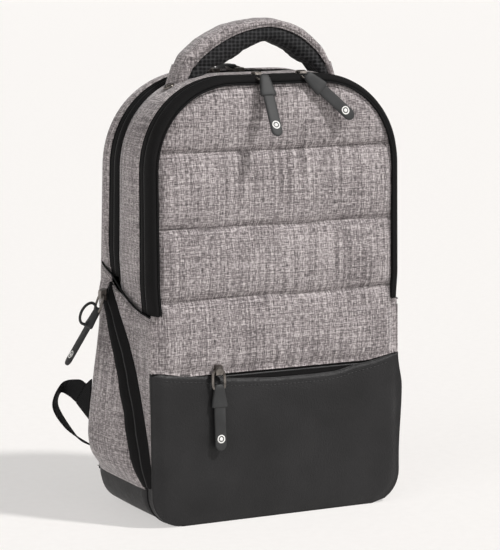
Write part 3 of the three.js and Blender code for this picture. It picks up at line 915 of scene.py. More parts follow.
def rear_tape_section(p):
    wobble = 0.0005 * ripple(p.x, 1, p.y, 30, 2.0)
    wobble -= tuck(p, 0.16)
    rib = ribs(p)
    return [
        (0.1215, -0.0014 + wobble),
        (0.124, -0.0002 + wobble),
        (0.134, 0.0007 + wobble + rib),
        (0.152, 0.0008 + wobble + rib),
        (0.165, 0.0006 + wobble),
        (0.190, 0.0001 + wobble),
        (0.2015, -0.0010 + wobble),
        (0.200, -0.0046 + wobble),
        (0.124, -0.0046 + wobble),
    ]


front_tape = ["front_zip_rear_tape"]
band("front_zip_rear_band", front_path, rear_tape_section, TAPE, "front_section", replaces=front_tape)


def piping(name, path, s, out, radius, material, body):
    line = []
    for p, n in path:
        q = p + n * (out - tuck(p, s))
        line.append(Vector((q.x, y_at(s, q.y), q.y)))
    return tube(name, line, radius, material, body, sides=8)


piping("front_zip_piping", arch(0.2290), -0.012, -0.0078, 0.0010, BINDING, "front_flap")
piping("front_zip_coil", arch(0.2275), 0.1205, -0.0006, 0.0009, PLASTIC, "front_section")
piping("band_front_piping", arch(0.2275), 0.2025, -0.0003, 0.0010, BINDING, "front_section")

# ---------------------------------------------------------------- the grey band between the zips
band_path = arch(0.216)


def band_section(p):
    low = smooth(0.245, 0.31, p.y)
    crown = 0.0026 * low
    wave = 0.0011 * ripple(p.x, 0.4, p.y, 19, 6.0) * low + 0.0006 * ripple(p.x, 0.8, p.y, 60, 6.5) * low
    outer = []
    for i in range(11):
        t = i / 10
        s = 0.205 + (0.611 - 0.205) * t
        lift = (1 - abs(2 * t - 1) ** 2.4) * crown
        outer.append((s, -0.0012 + lift + wave * math.sin(math.pi * t) - tuck(p, s)))
    inner = [(0.611, -0.0062), (0.205, -0.0062)]
    return outer + inner


band(
    "middle_band_cloth",
    band_path,
    band_section,
    FABRIC,
    "front_section",
    replaces=["middle_gusset"],
    padded=0.3,
)

# ---------------------------------------------------------------- main zip
main_path = fine_arch(0.2600)


def half_tape(s0, s1, slit_first):
    def section(p):
        wobble = 0.0004 * ripple(p.x, s0 * 9, p.y, 30, 4.0) - tuck(p, 0.7)
        rim, far = (s0, s1) if slit_first else (s1, s0)
        step = (far - rim) / 10
        rib = ribs(p)
        return [
            (rim, -0.0016 + wobble),
            (rim + 0.6 * step, -0.0002 + wobble),
            (rim + 2.2 * step, 0.0003 + wobble + rib),
            (rim + 5.0 * step, 0.0003 + wobble + rib),
            (rim + 6.5 * step, -0.0001 + wobble),
            (far - 0.6 * step, -0.0006 + wobble),
            (far, -0.0018 + wobble),
            (far, -0.0044 + wobble),
            (rim, -0.0044 + wobble),
        ]

    return section


main_front = half_tape(0.6135, 0.6988, False)
band("main_zip_front_band", main_path, main_front, TAPE, "front_section", replaces=["main_zip_front_tape"])
main_rear = half_tape(0.7012, 0.7835, True)
band("main_zip_rear_band", main_path, main_rear, TAPE, "pack", replaces=["main_zip_rear_tape"])
piping("main_zip_coil", arch(0.262), 0.7002, -0.0009, 0.0009, PLASTIC, "pack")
piping("band_rear_piping", arch(0.256), 0.6125, -0.0006, 0.0010, BINDING, "front_section")

# ---------------------------------------------------------------- rear gusset and back panel
gusset_path = arch(0.252)


def rear_section(p):
    wave = 0.0009 * ripple(p.x, 2.0, p.y, 20, 9.0) - tuck(p, 0.88)
    outer = [
        (0.786, -0.0012),
        (0.815, 0.0004 + wave),
        (0.860, 0.0014 + wave),
        (0.905, 0.0012 + wave),
        (0.945, -0.0006),
        (0.975, -0.0040),
        (0.995, -0.0095),
        (1.003, -0.0160),
    ]
    return outer + [(0.985, -0.0165), (0.968, -0.0088), (0.930, -0.0048), (0.786, -0.0048)]


band("rear_gusset_cloth", gusset_path, rear_section, FABRIC, "pack", replaces=["rear_gusset"], padded=0.3)
piping("rear_gusset_piping", arch(0.268), 0.7852, -0.0006, 0.0010, BINDING, "pack")


def back_outline():
    top = [(p.x - n.x * 0.0165, p.y - n.y * 0.0165) for p, n in arch(0.276, 0.012)]
    low = [(p.x, p.y) for p, n in tub_outline(0.010, 0.268, 0.012)]
    return top + low[::-1]


back = from_outline("back_panel_cloth", back_outline(), 0.940, 1.003)
remesh(back, 0.0045)
back_points = coordinates(back)
for i, (x, y, z) in enumerate(back_points):
    if y > y_at(0.98, z):
        back_points[i][1] = y_at(1.001, z) + 0.0006 * ripple(x, 0, z, 22, 4.0)
set_coordinates(back, back_points)
refine(back)
finish_piece(back, MESH, "pack", ["back_panel"])

# ---------------------------------------------------------------- side pockets
# The filled pocket's shape. Each row: height, then (y, how far it stands out) at the zip tape's front edge,
# at its rear edge and at the fullest place behind it, all in millimetres.
POCKET_SHAPE = (
    (40, (-76, 0.3), (-60, 1.0), (36, 1.0)),
    (46, (-75, 0.4), (-55, 5.5), (36, 7.0)),
    (58, (-73, 0.5), (-50, 10.0), (36, 19.0)),
    (75, (-69, 0.6), (-45, 13.0), (36, 26.0)),
    (93, (-64, 0.8), (-39, 14.2), (36, 26.5)),
    (130, (-49, 1.2), (-24, 14.0), (35, 22.5)),
    (168, (-32, 1.4), (-7.5, 12.6), (34, 17.0)),
    (200, (-14, 2.4), (11, 11.4), (32, 13.0)),
    (220, (-1, 5.0), (22, 11.2), (31, 11.5)),
    (241, (10, 8.8), (33, 9.8), (25, 11.4)),
    (252, (17, 5.2), (38, 5.0), (28, 6.2)),
    (275, (24, 1.2), (44, 1.2), (34, 1.4)),
)


def pocket_row(z):
    """The shape's row at one height."""
    z = min(POCKET_SHAPE[-1][0], max(POCKET_SHAPE[0][0], z * 1000))
    for low, high in zip(POCKET_SHAPE, POCKET_SHAPE[1:]):
        if z <= high[0]:
            t = (z - low[0]) / (high[0] - low[0])
            return [(a[0] + (b[0] - a[0]) * t, a[1] + (b[1] - a[1]) * t) for a, b in zip(low[1:], high[1:])]


def zip_edge_y(z, rear):
    """The zip tape's front (0) or rear (1) edge, or a place between them, smoothed along its length."""
    total = 0.0
    for step in (-2, -1, 0, 1, 2):
        (front, _), (back_y, _), _ = pocket_row(z + step * 0.006)
        total += (front + (back_y - front) * rear) / 5000
    middle = zip_edge_y(z, 0.5) if rear != 0.5 else total
    return middle + (total - middle) * smooth(0.258, 0.228, z)


def pocket_top(y, z_guess=0.25):
    return hem_height((y - y_front(z_guess)) / (y_back(z_guess) - y_front(z_guess)))


def pocket_stand_raw(y, z):
    front_y = y_front(z) + 0.003
    rear_y = y_at(0.968, z)
    (y1, h1), (y2, h2), (y3, h3) = pocket_row(z)
    knots = sorted([(y1 / 1000, h1 / 1000), (y2 / 1000, h2 / 1000), (y3 / 1000, h3 / 1000)])
    ys = [front_y] + [k[0] for k in knots] + [rear_y - 0.014, rear_y]
    hs = [0.0003] + [k[1] for k in knots] + [0.45 * h3 / 1000, 0.0010]
    for i in range(1, len(ys)):
        ys[i] = max(ys[i], ys[i - 1] + 0.0005)
    slopes = [(hs[i + 1] - hs[i]) / (ys[i + 1] - ys[i]) for i in range(len(ys) - 1)]
    tangents = [slopes[0]]
    for a, b in zip(slopes, slopes[1:]):
        tangents.append(0.0 if a * b <= 0 else 2 * a * b / (a + b))
    tangents.append(slopes[-1])
    y = min(max(y, ys[0]), ys[-1])
    i = max(k for k in range(len(ys) - 1) if ys[k] <= y)
    w = ys[i + 1] - ys[i]
    t = (y - ys[i]) / w
    value = hs[i] * (1 + 2 * t) * (1 - t) ** 2 + hs[i + 1] * t * t * (3 - 2 * t)
    return value + tangents[i] * w * t * (1 - t) ** 2 + tangents[i + 1] * w * t * t * (t - 1)


def pocket_stand(y, z):
    """How far the filled side pocket stands out of the side wall."""
    value = sum(pocket_stand_raw(y, z + step * 0.004) for step in (-2, -1, 0, 1, 2)) / 5
    top = pocket_top(y, z)
    value = 0.0010 + (value - 0.0010) * smooth(-0.001, 0.024, top - z)
    soft = smooth(0.045, 0.075, z) * smooth(0, 0.03, top - z) * smooth(0, 0.004, value)
    value += soft * (0.0014 * ripple(0, y, z, 24, 1.5) + 0.0008 * ripple(0, y, z, 55, 2.5))
    return max(0.0004, value)


CORNER = (
    (0.86, 0.0),
    (0.905, -0.0006),
    (0.945, -0.0028),
    (0.975, -0.0062),
    (0.995, -0.0112),
    (1.004, -0.0180),
)


def pocket_point(sign, y, z, lift=0.0):
    """A point on the side pocket's skin, which also rounds the corner onto the back."""
    share = (y - y_front(z)) / (y_back(z) - y_front(z))
    turn = 0.0
    for (s0, d0), (s1, d1) in zip(CORNER, CORNER[1:]):
        if share > s0:
            turn = d0 + (d1 - d0) * min(1, (share - s0) / (s1 - s0))
    return sign * (HALF_WIDTH + pocket_stand(y, z) + turn + lift), y, z


def pocket_panel(name, sign, low_edge, high_edge, replaces):
    """One bulging panel of a side pocket, between two edges given as functions of height."""
    rows, columns = 46, 22
    z0 = 0.040
    outer, inner = [], []
    for i in range(rows + 1):
        share = i / rows
        outer_row, inner_row = [], []
        for j in range(columns + 1):
            t = j / columns
            z = z0 + (0.236 - z0) * share
            y = low_edge(z) + (high_edge(z) - low_edge(z)) * t
            top = pocket_top(y, z)
            z = z0 + (top - z0) * share
            y = low_edge(z) + (high_edge(z) - low_edge(z)) * t
            fold = -0.0010 * (1 - smooth(0, 0.12, min(t, 1 - t)))
            outer_row.append(pocket_point(sign, y, z, fold))
            inner_row.append(pocket_point(sign, y, z, fold - 0.0013))
        outer.append(outer_row)
        inner.append(inner_row)
    return two_skins(name, outer, inner, FABRIC, "pack", replaces=replaces, padded=0.4)


def pocket_front_edge(z):
    return y_front(z) + 0.0050


def pocket_rear_edge(z):
    return y_at(1.003, z)


def zip_side(share):
    return lambda z: zip_edge_y(z, share)


def side_zip(sign, side):
    """The two tape halves of a side zip, with the coil in the slit."""
    heights = [0.0435 + (0.2535 - 0.0435) * i / 182 for i in range(183)]
    for part, near, far in (("front", 0.49, -0.03), ("rear", 0.51, 1.03)):
        rings = []
        for i, z in enumerate(heights):
            rib = 0.0003 * (i % 2)
            ring = []
            for share, lift in (
                (0, 0.0),
                (0.08, 0.0011),
                (0.2, 0.0011 + rib),
                (0.5, 0.0011 + rib),
                (0.62, 0.0008),
                (0.95, 0.0004),
                (1, -0.0004),
            ):
                y = zip_edge_y(z, near + (far - near) * share)
                ring.append((sign * (HALF_WIDTH + pocket_stand(y, z) + lift), y, z))
            for share in (1, 0):
                y = zip_edge_y(z, near + (far - near) * share)
                ring.append((sign * (HALF_WIDTH + pocket_stand(y, z) - 0.0018), y, z))
            rings.append(ring)
        replaced = ["side_zip_tape_" + side] if part == "front" else []
        sweep(f"side_zip_{part}_tape_{side}", rings, TAPE, "pack", replaces=replaced)
    line = []
    for z in heights[::4]:
        y = zip_edge_y(z, 0.5)
        line.append((sign * (HALF_WIDTH + pocket_stand(y, z) + 0.0002), y, z))
    tube("side_zip_coil_" + side, line, 0.0010, PLASTIC, "pack")


def pocket_hem(sign, side):
    """The bound top edge of a side pocket."""
    points = []
    for i in range(61):
        share = i / 60
        y = pocket_front_edge(0.23) + (y_at(1.001, 0.27) - pocket_front_edge(0.23)) * share
        z = pocket_top(y, 0.25)
        points.append(pocket_point(sign, y, z, -0.0006))
    tube("side_pocket_hem_" + side, points, 0.0010, BINDING, "pack")
    row = [(0, y, z - 0.0045) for _, y, z in points[2:-4]]
    row = [pocket_point(sign, y, z, 0.0002) for _, y, z in row]
    stitches("side_pocket_stitching_" + side, [row], THREAD_GREY, "pack")


# The seam down each front corner, from the side pocket's top edge to the leather.
SEAM_LOW = 0.1675
SEAM_RISE = 0.054

for side, sign in SIDES:
    front_names = ["side_pocket_front_" + side, "side_wall_" + side]
    rear_names = ["side_pocket_rear_" + side]
    pocket_panel("side_front_panel_" + side, sign, pocket_front_edge, zip_side(0.02), front_names)
    pocket_panel("side_rear_panel_" + side, sign, zip_side(0.98), pocket_rear_edge, rear_names)
    side_zip(sign, side)
    pocket_hem(sign, side)
    seam = []
    for i in range(31):
        z = SEAM_LOW + SEAM_RISE * i / 30
        seam.append((sign * (HALF_WIDTH - 0.0004), y_front(z) + 0.0042, z))
    tube("side_front_seam_" + side, seam, 0.0010, FABRIC, "pack")


def rear_binding(sign, side):
    """The bound seam where a side pocket meets the back panel."""
    rings = []
    for i in range(81):
        z = 0.034 + (0.268 - 0.034) * i / 80
        ends = 1 - 0.45 * (1 - smooth(0, 0.05, min(i, 80 - i) / 80))
        ring = []
        for k in range(12):
            a = 2 * math.pi * k / 12
            c, s = math.cos(a), math.sin(a)
            x = 0.1382 + 0.0060 * signed_power(c, 0.6)
            ring.append((sign * x, y_back(z) + 0.0004 + 0.0022 * ends * signed_power(s, 0.6), z))
        rings.append(ring if sign > 0 else ring[::-1])
    sweep("rear_binding_" + side, rings, BINDING, "pack")


for side, sign in SIDES:
    rear_binding(sign, side)

# ---------------------------------------------------------------- leather pocket and base
def leather_front(x, z):
    """The leather pocket's front surface: nearly flat, fuller low down, with a soft rolled edge."""
    side = smooth(-0.001, 0.010, HALF_WIDTH + 0.0012 - abs(x))
    foot = smooth(0, 0.016, z) if abs(x) < HALF_WIDTH - BASE_RADIUS else smooth(
        0, 0.014, BASE_RADIUS - math.hypot(max(0, abs(x) - HALF_WIDTH + BASE_RADIUS), max(0, BASE_RADIUS - z))
    )
    edge = min(side, foot)
    full = 0.0021 * math.sin(math.pi * min(1, max(0, z / 0.17))) * side
    wave = 0.0014 * ripple(x, 0, z, 15, 2.2) + 0.0007 * ripple(x, 0, z, 48, 3.3)
    recess = 0.0014 * smooth(0.014, 0.0, leather_top(x) - z)
    calm = 1 - 0.75 * smooth(0.10, 0.160, z)
    return y_front(z) + 0.0030 * (1 - edge) ** 1.8 - (full + wave) * edge * calm + recess


# The pocket's mouth, in millimetres: it is held up at its corners and gapes open between them.
MOUTH = (
    (-150, 168),
    (-122, 164),
    (-85, 160),
    (-58, 155),
    (-8, 151.5),
    (42, 151),
    (72, 152),
    (92, 157),
    (116, 160),
    (150, 168),
)


def leather_top(x):
    """The leather's top edge."""
    total = 0.0
    for step in (-2, -1, 0, 1, 2):
        at = min(150, max(-150, x * 1000 + step * 3))
        for (x0, z0), (x1, z1) in zip(MOUTH, MOUTH[1:]):
            if at <= x1:
                total += z0 + (z1 - z0) * (at - x0) / (x1 - x0)
                break
    return total / 5000


def leather_pocket():
    rows, columns = 40, 56
    grid = []
    for i in range(rows + 1):
        row = []
        for j in range(columns + 1):
            t = 2 * j / columns - 1
            t = math.copysign(1 - (1 - abs(t)) ** 1.25, t)
            share = i / rows
            z = share * leather_top(t * HALF_WIDTH)
            half = HALF_WIDTH + 0.0012 + 0.0040 * smooth(0.16, 0.13, z) * smooth(0.05, 0.13, z) * (t > 0)
            if z < BASE_RADIUS:
                half += math.sqrt(max(0, BASE_RADIUS**2 - (BASE_RADIUS - z) ** 2)) - BASE_RADIUS
            x = t * half
            row.append((x, leather_front(x, z), z))
        grid.append(row)
    rear = [[(x, max(y, y_front(z)) + 0.0028, z) for x, y, z in row] for row in grid]
    return two_skins("leather_pocket_front", grid, rear, LEATHER, "pack", replaces=["front_pocket"])


leather_pocket()


def boot_section(s0, s1, thick, crown):
    def section(p):
        outer = []
        for i in range(9):
            t = i / 8
            roll = 0.0045 * ((1 - smooth(0, 0.09, t)) if s0 < 0.05 else 0)
            roll += 0.006 * ((1 - smooth(0, 0.10, 1 - t)) if s1 > 0.95 else 0)
            lift = crown * math.sin(math.pi * t) * smooth(0.0, 0.03, p.y + 0.02)
            outer.append((s0 + (s1 - s0) * t, lift - roll if p.y > 0.006 else min(0.0, -roll)))
        return outer + [(s1, -thick - 0.004), (s0, -thick - 0.004)]

    return section


side_path = tub_outline(-0.0004, 0.163)
band("leather_pocket_side", side_path, boot_section(0.024, 0.108, 0.003, 0.0), LEATHER, "pack")
boot_path = tub_outline(0, 0.0445)
boot_skin = boot_section(0.108, 0.985, 0.003, 0.0008)
band("leather_base", boot_path, boot_skin, LEATHER, "pack", replaces=["base_boot"])
cord_line = [Vector((x, y, max(z, 0.0009))) for x, y, z in edge_line(boot_path, 0.112, 0.0004)]
tube("base_seam_cord", cord_line, 0.0009, BINDING, "pack")


def boot_stitching():
    rows = []
    for sign in (-1, 1):
        row = []
        for i in range(41):
            s = 0.13 + 0.82 * i / 40
            row.append((sign * (HALF_WIDTH + 0.0013), y_at(s, 0.041), 0.041))
        rows.append(row)
    return rows


stitches("base_stitching", boot_stitching(), THREAD_BLACK, "pack")


def pocket_mouth():
    """The zip that shows as a dark line above the leather."""
    rings = []
    for i in range(57):
        x = (i / 28 - 1) * 0.1415
        low, high = leather_top(x) - 0.006, 0.1740 - 0.004 * smooth(0.120, 0.1415, abs(x))
        y0 = y_at(0.022, 0.165)
        middle = 0.5 * (low + high)
        ring = [(x, y0, low), (x, y0 - 0.0012, low + 0.001)]
        ring += [(x, y0 - 0.0006, middle), (x, y0 - 0.0010, high - 0.001)]
        ring += [(x, y0, high), (x, y0 + 0.0014, high), (x, y0 + 0.0014, low)]
        rings.append(ring)
    sweep("pocket_mouth_zip", rings, TAPE, "pack", replaces=["front_pocket_zip_tape"])
    coil = [((i / 28 - 1) * 0.1400, y_at(0.018, 0.165), 0.1585) for i in range(57)]
    tube("pocket_mouth_coil", coil, 0.0009, PLASTIC, "pack")
    hem = []
    for i in range(57):
        x = (i / 28 - 1) * 0.1465
        hem.append((x, leather_front(x, leather_top(x)) + 0.0015, leather_top(x) - 0.0002))
    tube("pocket_mouth_hem", hem, 0.0015, LEATHER, "pack")
    row = [(x, leather_front(x, z - 0.0065) - 0.0002, z - 0.0065) for x, y, z in hem[2:-2]]
    stitches("pocket_mouth_stitching", [row], THREAD_BLACK, "pack")


pocket_mouth()

# ---------------------------------------------------------------- carrying handle
HANDLE_Y = -0.010
HANDLE_HALF = 0.017
HANDLE_ARC = [
    ((-92, 486), (-77, 486), (-50, 486)),
    ((-82, 502), (-67, 497), (-40, 488)),
    ((-56, 521), (-45, 512), (-25, 495)),
    ((-24, 533), (-18, 523), (-8, 505)),
    ((16, 537), (15, 528), (14, 512)),
    ((52, 528), (47, 519), (38, 503)),
    ((79, 508), (71, 502), (55, 491)),
    ((93, 486), (84, 486), (66, 486)),
]


def spline(points, steps):
    """Catmull-Rom through points, the same kind as the CAD's flat curves."""
    points = [Vector(p) for p in points]
    made = []
    for k in range(steps + 1):
        place = (len(points) - 1) * k / steps
        i = min(int(place), len(points) - 2)
        t = place - i
        p1, p2 = points[i], points[i + 1]
        p0 = points[i - 1] if i > 0 else p1 * 2 - p2
        p3 = points[i + 2] if i + 2 < len(points) else p2 * 2 - p1
        m1, m2 = (p2 - p0) * 0.5, (p3 - p1) * 0.5
        near = p1 * (2 * t**3 - 3 * t**2 + 1) + m1 * (t**3 - 2 * t**2 + t)
        made.append(near + p2 * (-2 * t**3 + 3 * t**2) + m2 * (t**3 - t**2))
    return made


def handle_rows():
    """The handle's top, seam and underside lines. The cloth covers only its upper part."""
    top, _, under = [spline([Vector(column[row]) * 0.001 for column in HANDLE_ARC], 96) for row in range(3)]
    return top, [a.lerp(b, 0.34) for a, b in zip(top, under)], under


def handle_piece(name, half, round_over, round_across, drop, lid, to_top, material, replaces):
    """One part of the handle, swelling from the seam line to the top or to the underside."""
    top, seam, under = handle_rows()
    rings = []
    for i in range(len(top)):
        share = i / (len(top) - 1)
        pinch = 1 - 0.05 * (1 - smooth(0, 0.10, min(share, 1 - share)))
        fold = 0.0009 * ripple(seam[i].x, 0, seam[i].y, 110, 4.4)
        ring = []
        for k in range(13):
            a = math.pi * k / 12
            reach = math.sin(a) ** round_over
            q = seam[i].lerp(top[i] if to_top else under[i], reach)
            y = HANDLE_Y + half * pinch * signed_power(-math.cos(a), round_across)
            ring.append((q.x, y, q.y - drop + fold * reach))
        ring.append((seam[i].x, HANDLE_Y, seam[i].y + lid))
        rings.append(ring)
    return sweep(name, rings, material, "handle", replaces=replaces, padded=0.8)


handle_piece("handle_cloth_cover", HANDLE_HALF, 0.55, 0.8, 0, 0.0004, True, FABRIC, ["handle_cover"])
grip_half = HANDLE_HALF - 0.0012
handle_piece("handle_mesh_grip", grip_half, 0.42, 0.7, 0.0003, -0.0006, False, MESH, ["handle_grip"])
handle_seam = handle_rows()[1]
for label, way in (("front", -1), ("rear", 1)):
    line = [(p.x, HANDLE_Y + way * (HANDLE_HALF - 0.0006), p.y) for p in handle_seam[2:-2]]
    tube("handle_piping_" + label, line, 0.0008, FABRIC, "handle")
    row = [(p.x, HANDLE_Y + way * (HANDLE_HALF + 0.0001), p.y + 0.0022) for p in handle_seam[4:-4]]
    stitches("handle_stitching_" + label, [row], THREAD_GREY, "handle")


def handle_root(side, foot_out, foot_in, ground_out, ground_in):
    """The handle's sewn-in end, which keeps its line and its section down into the band."""
    for part, material, near, far, half in (
        ("cloth", FABRIC, 0.60, 1.0, 0.0170),
        ("grip", MESH, 0.0, 0.66, 0.0160),
    ):
        rings = []
        for i in range(11):
            t = i / 10
            out = Vector(foot_out).lerp(Vector(ground_out), t)
            into = Vector(foot_in).lerp(Vector(ground_in), t)
            ring = []
            for k in range(28):
                a = 2 * math.pi * k / 28
                c, s = signed_power(math.cos(a), 0.55), signed_power(math.sin(a), 0.55)
                q = into.lerp(out, near + (far - near) * (0.5 + 0.5 * c))
                ring.append((q.x, HANDLE_Y + half * s * (1 + 0.05 * t), q.y))
            rings.append(ring)
        replaced = ["handle_anchor_" + side] if part == "cloth" else []
        made = sweep(f"handle_root_{part}_{side}", rings, material, None, replaces=replaced)
        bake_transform(made)


handle_root("left", (-0.0905, 0.4885), (-0.0510, 0.4865), (-0.0985, 0.4640), (-0.0680, 0.4735))
handle_root("right", (0.0915, 0.4885), (0.0670, 0.4865), (0.0985, 0.4640), (0.0800, 0.4715))

# ---------------------------------------------------------------- cable eyelet
def washer(radii, centre, axis, material, name, body, replaces=()):
    """A turned ring from (radius, height) corners."""
    turn = Vector((0, 0, 1)).rotation_difference(Vector(axis)).to_matrix()
    rings = []
    for k in range(32):
        a = 2 * math.pi * k / 32
        c, s = math.cos(a), math.sin(a)
        rings.append([Vector(centre) + turn @ Vector((r * c, r * s, h)) for r, h in radii])
    return sweep(name, rings, material, body, closed_path=True, replaces=replaces)


# The cable eyelet's ring and the plug in it, as (radius, height) profiles about its axis.
EYELET_AT = (-0.1035, -0.020, 0.4662)
EYELET_AXIS = (-0.42, 0, 0.91)
EYELET_RING = [
    (0.0034, 0.0),
    (0.0062, 0.0),
    (0.0064, 0.0006),
    (0.0058, 0.0016),
    (0.0048, 0.0022),
    (0.0038, 0.0018),
    (0.0034, 0.001),
]
EYELET_PLUG = [(0.0, 0.0), (0.0034, 0.0), (0.0034, 0.0009), (0.0, 0.0007)]
washer(EYELET_RING, EYELET_AT, EYELET_AXIS, METAL, "eyelet_ring", "front_section", ["cable_eyelet"])
washer(EYELET_PLUG, EYELET_AT, EYELET_AXIS, PLASTIC, "eyelet_plug", "front_section")

# ---------------------------------------------------------------- webbing, tabs and yoke
WEBBING = [
    (-77, 106, 93, 12.5, 0, 0),
    (-80, 108, 74, 11.5, 4, 2),
    (-98, 110, 55, 6, 11.5, 3),
    (-128, 109, 51, 3, 12.5, 1),
    (-149, 114, 59, 4, 12, -3),
    (-164, 126, 75, 8, 11.0, -3),
    (-173, 139, 98, 8, 11.4, -3),
    (-168, 133, 119, 3, 10.4, -7.6),
    (-161, 115, 122, -3, 7.6, -10.4),
    (-159, 97.5, 119, -4, 5.6, -11.4),
]
TAB = [(-153, 85, 113, 0, 4, -24), (-155.5, 90, 116, -2, 5, -19), (-158.6, 96.5, 118.6, -4, 6, -12)]


def ribbon(name, stations, thickness, steps, material, body, sign=-1, **more):
    """A flat band with rounded selvedges along stations of centre and half width."""
    centres = spline([Vector((-sign * s[0], s[1], s[2])) * 0.001 for s in stations], steps)
    halves = spline([Vector((-sign * s[3], s[4], s[5])) * 0.001 for s in stations], steps)
    rings = []
    for i, (centre, half) in enumerate(zip(centres, halves)):
        tangent = (centres[min(i + 1, steps)] - centres[max(i - 1, 0)]).normalized()
        face = tangent.cross(half).normalized() * (thickness / 2)
        ring = []
        for way in (1, -1):
            for across, deep in ((1, 0), (0.96, 0.8), (0.5, 1), (0, 1), (-0.5, 1), (-0.96, 0.8)):
                ring.append(centre + half * (across * way) + face * (deep * way))
        rings.append(ring)
    return sweep(name, rings, material, body, **more)


for side, sign in SIDES:
    stood_for = ["strap_webbing_" + side]
    lower = ribbon("strap_adjuster_" + side, WEBBING, 0.0018, 110, WEB, None, sign, replaces=stood_for)
    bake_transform(lower)
    ribbon("strap_anchor_" + side, TAB, 0.003, 24, WEB, "pack", sign, replaces=["strap_tab_" + side])


def yoke_cloth():
    """The stitched bar the straps and the hang loop are sewn under."""
    rings = []
    for i in range(49):
        x = (i / 24 - 1) * 0.0738
        end = min(1, (0.0738 - abs(x)) / 0.006)
        ring = []
        for k in range(16):
            a = 2 * math.pi * k / 16
            c, s = math.cos(a), math.sin(a)
            z = 0.437 + 0.0130 * signed_power(c, 0.5)
            lift = 0.5 + 0.5 * signed_power(s, 0.6) * (0.6 + 0.4 * end)
            ring.append((x, y_at(1.004 + 0.028 * lift, z), z))
        rings.append(ring)
    sweep("strap_yoke_cloth", rings, FABRIC, "pack", replaces=["strap_yoke"], padded=0.3)
    rows = []
    for z in (0.4275, 0.4465):
        rows.append([((i / 30 - 1) * 0.070, y_at(1.0325, z) + 0.0001, z) for i in range(61)])
    stitches("strap_yoke_stitching", rows, THREAD_GREY, "pack")


yoke_cloth()


# ---------------------------------------------------------------- sliders and pulls
# Each pull: where it hangs from and its turn, then in degrees the link's swing, the rubber's swing,
# the stem's bend and the rubber's lean.
PULLS = {
    "front_zip_left": ((-0.017, -0.05501, 0.4786), 0, 80, 28, 0, 0),
    "front_zip_right": ((0.037, -0.05501, 0.4786), 0, 80, 14, 0, 46),
    "main_zip_left": ((-0.031, 0.0176, 0.4786), 180, 100, 90, 75, 0),
    "main_zip_right": ((-0.001, 0.0176, 0.4786), 180, 100, 90, 75, 0),
    "front_pocket_zip": ((-0.075, -0.08023, 0.1665), 0, 4, 4, 0, 0),
    "side_zip_left": ((-0.165, 0.0222, 0.241), -90, 20, 33, 0, 0),
    "side_zip_right": ((0.165, 0.0222, 0.241), 90, 8, 8, 0, 0),
}
LINK_REACH = 0.020
BEND_AT = 0.044
PULL_END = 0.086


def pull_frames(label):
    at, turn, link, rub, bend, lean = PULLS[label]
    place = Matrix.Translation(at) @ Matrix.Rotation(math.radians(turn), 4, "Z")
    swing = place @ Matrix.Rotation(math.radians(-link), 4, "X")
    shift = Matrix.Translation((0, 0, -LINK_REACH))
    hang = swing @ shift @ Matrix.Rotation(math.radians(link - rub), 4, "X")
    hang = hang @ Matrix.Rotation(math.radians(-lean), 4, "Y") @ shift.inverted()
    return swing, hang, bend


def bent(point, bend):
    """The rubber's own bend past the metal link."""
    x, y, z = point
    if not bend or z > -BEND_AT:
        return Vector(point)
    turn = Matrix.Rotation(math.radians(bend), 4, "X")
    return turn @ Vector((x, y, z + BEND_AT)) + Vector((0, 0, -BEND_AT))


def rounded_bar(points, sides=14, power=0.55):
    """Rings of a rounded bar along local z, from (z, half width, half thickness, centre y) entries."""
    rings = []
    for z, hx, hy, cy in points:
        ring = []
        for k in range(sides):
            a = 2 * math.pi * k / sides
            c, s = math.cos(a), math.sin(a)
            x = hx * signed_power(c, power)
            ring.append((x, cy + hy * signed_power(s, power), z))
        rings.append(ring)
    return rings


